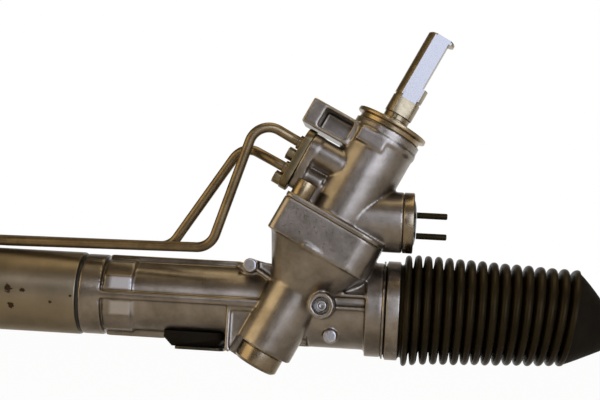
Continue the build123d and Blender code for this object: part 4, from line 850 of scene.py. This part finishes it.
# Camera at the photograph's angle: focal length in pixels of a 600 pixel wide picture
view = {
    "place": (58.6, -750.0, 4.5), "look": (-0.0751, 0.9941, 0.0788), "up": (-0.0508, -0.0828, 0.9953),
    "focal": 1237.0, "width": 600, "sensor": 36, "near": 0.01,
}
lookAxis = np.array(view["look"]) / np.linalg.norm(view["look"])
rightAxis = np.cross(lookAxis, view["up"])
rightAxis /= np.linalg.norm(rightAxis)
topAxis = np.cross(rightAxis, lookAxis)
cameraData = bpy.data.cameras.new("camera")
cameraData.sensor_width = view["sensor"]
cameraData.lens = view["focal"] / view["width"] * view["sensor"]
cameraData.clip_start = view["near"]
camera = bpy.data.objects.new("camera", cameraData)
bpy.context.scene.collection.objects.link(camera)
turn = np.stack([rightAxis, topAxis, -lookAxis], 1)
cameraPlace = Vector(np.array(view["place"]) * mm)
camera.matrix_world = Matrix.Translation(cameraPlace) @ Matrix(turn.tolist()).to_4x4()
bpy.context.scene.camera = camera
bpy.context.scene.view_settings.view_transform = "Standard"

# Lamps, with places and sizes in metres
lamps = {
    "keyLamp": {"place": (0.62, -1.10, 0.24), "size": 0.95, "power": 10.0, "color": (0.72, 0.80, 1.0)},
    "highLamp": {"place": (-0.22, -1.11, 0.56), "size": 0.25, "power": 0.7, "color": (0.82, 0.86, 1.0)},
    "warmLamp": {"place": (-1.15, -0.60, 0.35), "size": 1.1, "power": 6.0, "color": (1.0, 0.78, 0.46)},
    "topLamp": {"place": (0.1, 0.0, 1.2), "size": 0.9, "power": 4.0, "color": (1.0, 0.80, 0.50)},
}
lampTarget = Vector((0.0, 0.0, 0.02))
for name, lamp in lamps.items():
    light = bpy.data.lights.new(name, "AREA")
    light.shape = "SQUARE"
    light.size = lamp["size"]
    light.energy, light.color = lamp["power"], lamp["color"]
    lampObject = bpy.data.objects.new(name, light)
    lampObject.location = lamp["place"]
    lampObject.rotation_euler = (lampTarget - Vector(lamp["place"])).to_track_quat("-Z", "Y").to_euler()
    bpy.context.scene.collection.objects.link(lampObject)


def whiteShare(tree, depth, low, high):
    # 1 for camera rays, and for mirrored rays past the object: those rise from 0 at low to 1 at high
    rays = addNode(tree, "ShaderNodeLightPath").outputs
    mirrored = mathNode(tree, "MAXIMUM", rays["Is Glossy Ray"], rays["Is Transmission Ray"])
    farSide = mathNode(tree, "MULTIPLY", mirrored, spread(tree, depth, low, high))
    return mathNode(tree, "MAXIMUM", rays["Is Camera Ray"], farSide)


# World: a warm dim room lights the object, and the far side, where the white is, shows in its metal
room = {
    "low": (0.055, 0.035, 0.015), "high": (0.28, 0.215, 0.125), "heights": (-0.35, 0.6), "strength": 0.6,
    "farSide": (0.72, 0.98),
}
world = bpy.data.worlds.new("studio")
bpy.context.scene.world = world
world.use_nodes = True
worldTree = world.node_tree
direction = splitVector(worldTree, addNode(worldTree, "ShaderNodeTexCoord").outputs["Generated"])
upward = spread(worldTree, direction["Z"], *room["heights"])
roomColor = mixColors(worldTree, upward, room["low"], room["high"])
background = worldTree.nodes["Background"]
background.inputs["Strength"].default_value = room["strength"]
worldTree.links.new(roomColor, background.inputs["Color"])
whiteSky = addNode(worldTree, "ShaderNodeBackground", Color=(1, 1, 1, 1), Strength=1.0)
skyWhite = whiteShare(worldTree, direction["Y"], *room["farSide"])
mixShaders(
    worldTree, skyWhite, background.outputs["Background"], whiteSky.outputs["Background"], "World Output")

# Floor: white to the camera, and behind the object to mirrored rays, but it keeps a little of its shadow
floorShape = {
    "half": 5, "height": -0.1, "color": (0.9, 0.9, 0.89, 1), "rough": 0.9,
    "white": 0.97, "farSide": (0.0, 0.3),
}
floorMaterial, floorTree, floorShader, floorPlace = newMaterial("paleFloor")
floorShader.inputs["Base Color"].default_value = floorShape["color"]
floorShader.inputs["Roughness"].default_value = floorShape["rough"]
glow = addNode(floorTree, "ShaderNodeEmission", Color=(1, 1, 1, 1), Strength=1.0)
floorWhite = whiteShare(floorTree, splitVector(floorTree, floorPlace)["Y"], *floorShape["farSide"])
floorWhite = spread(floorTree, floorWhite, 0, 1, 0, floorShape["white"])
mixShaders(
    floorTree, floorWhite, floorShader.outputs["BSDF"], glow.outputs["Emission"], "Material Output")
half, height = floorShape["half"], floorShape["height"]
floorCorners = [(x * half, y * half, height) for x, y in ((-1, -1), (1, -1), (1, 1), (-1, 1))]
floorMesh = bpy.data.meshes.new("floor")
floorMesh.from_pydata(floorCorners, [], [(0, 1, 2, 3)])
floor = bpy.data.objects.new("floor", floorMesh)
floorMesh.materials.append(floorMaterial)
bpy.context.scene.collection.objects.link(floor)
print("camera, light and floor ready")
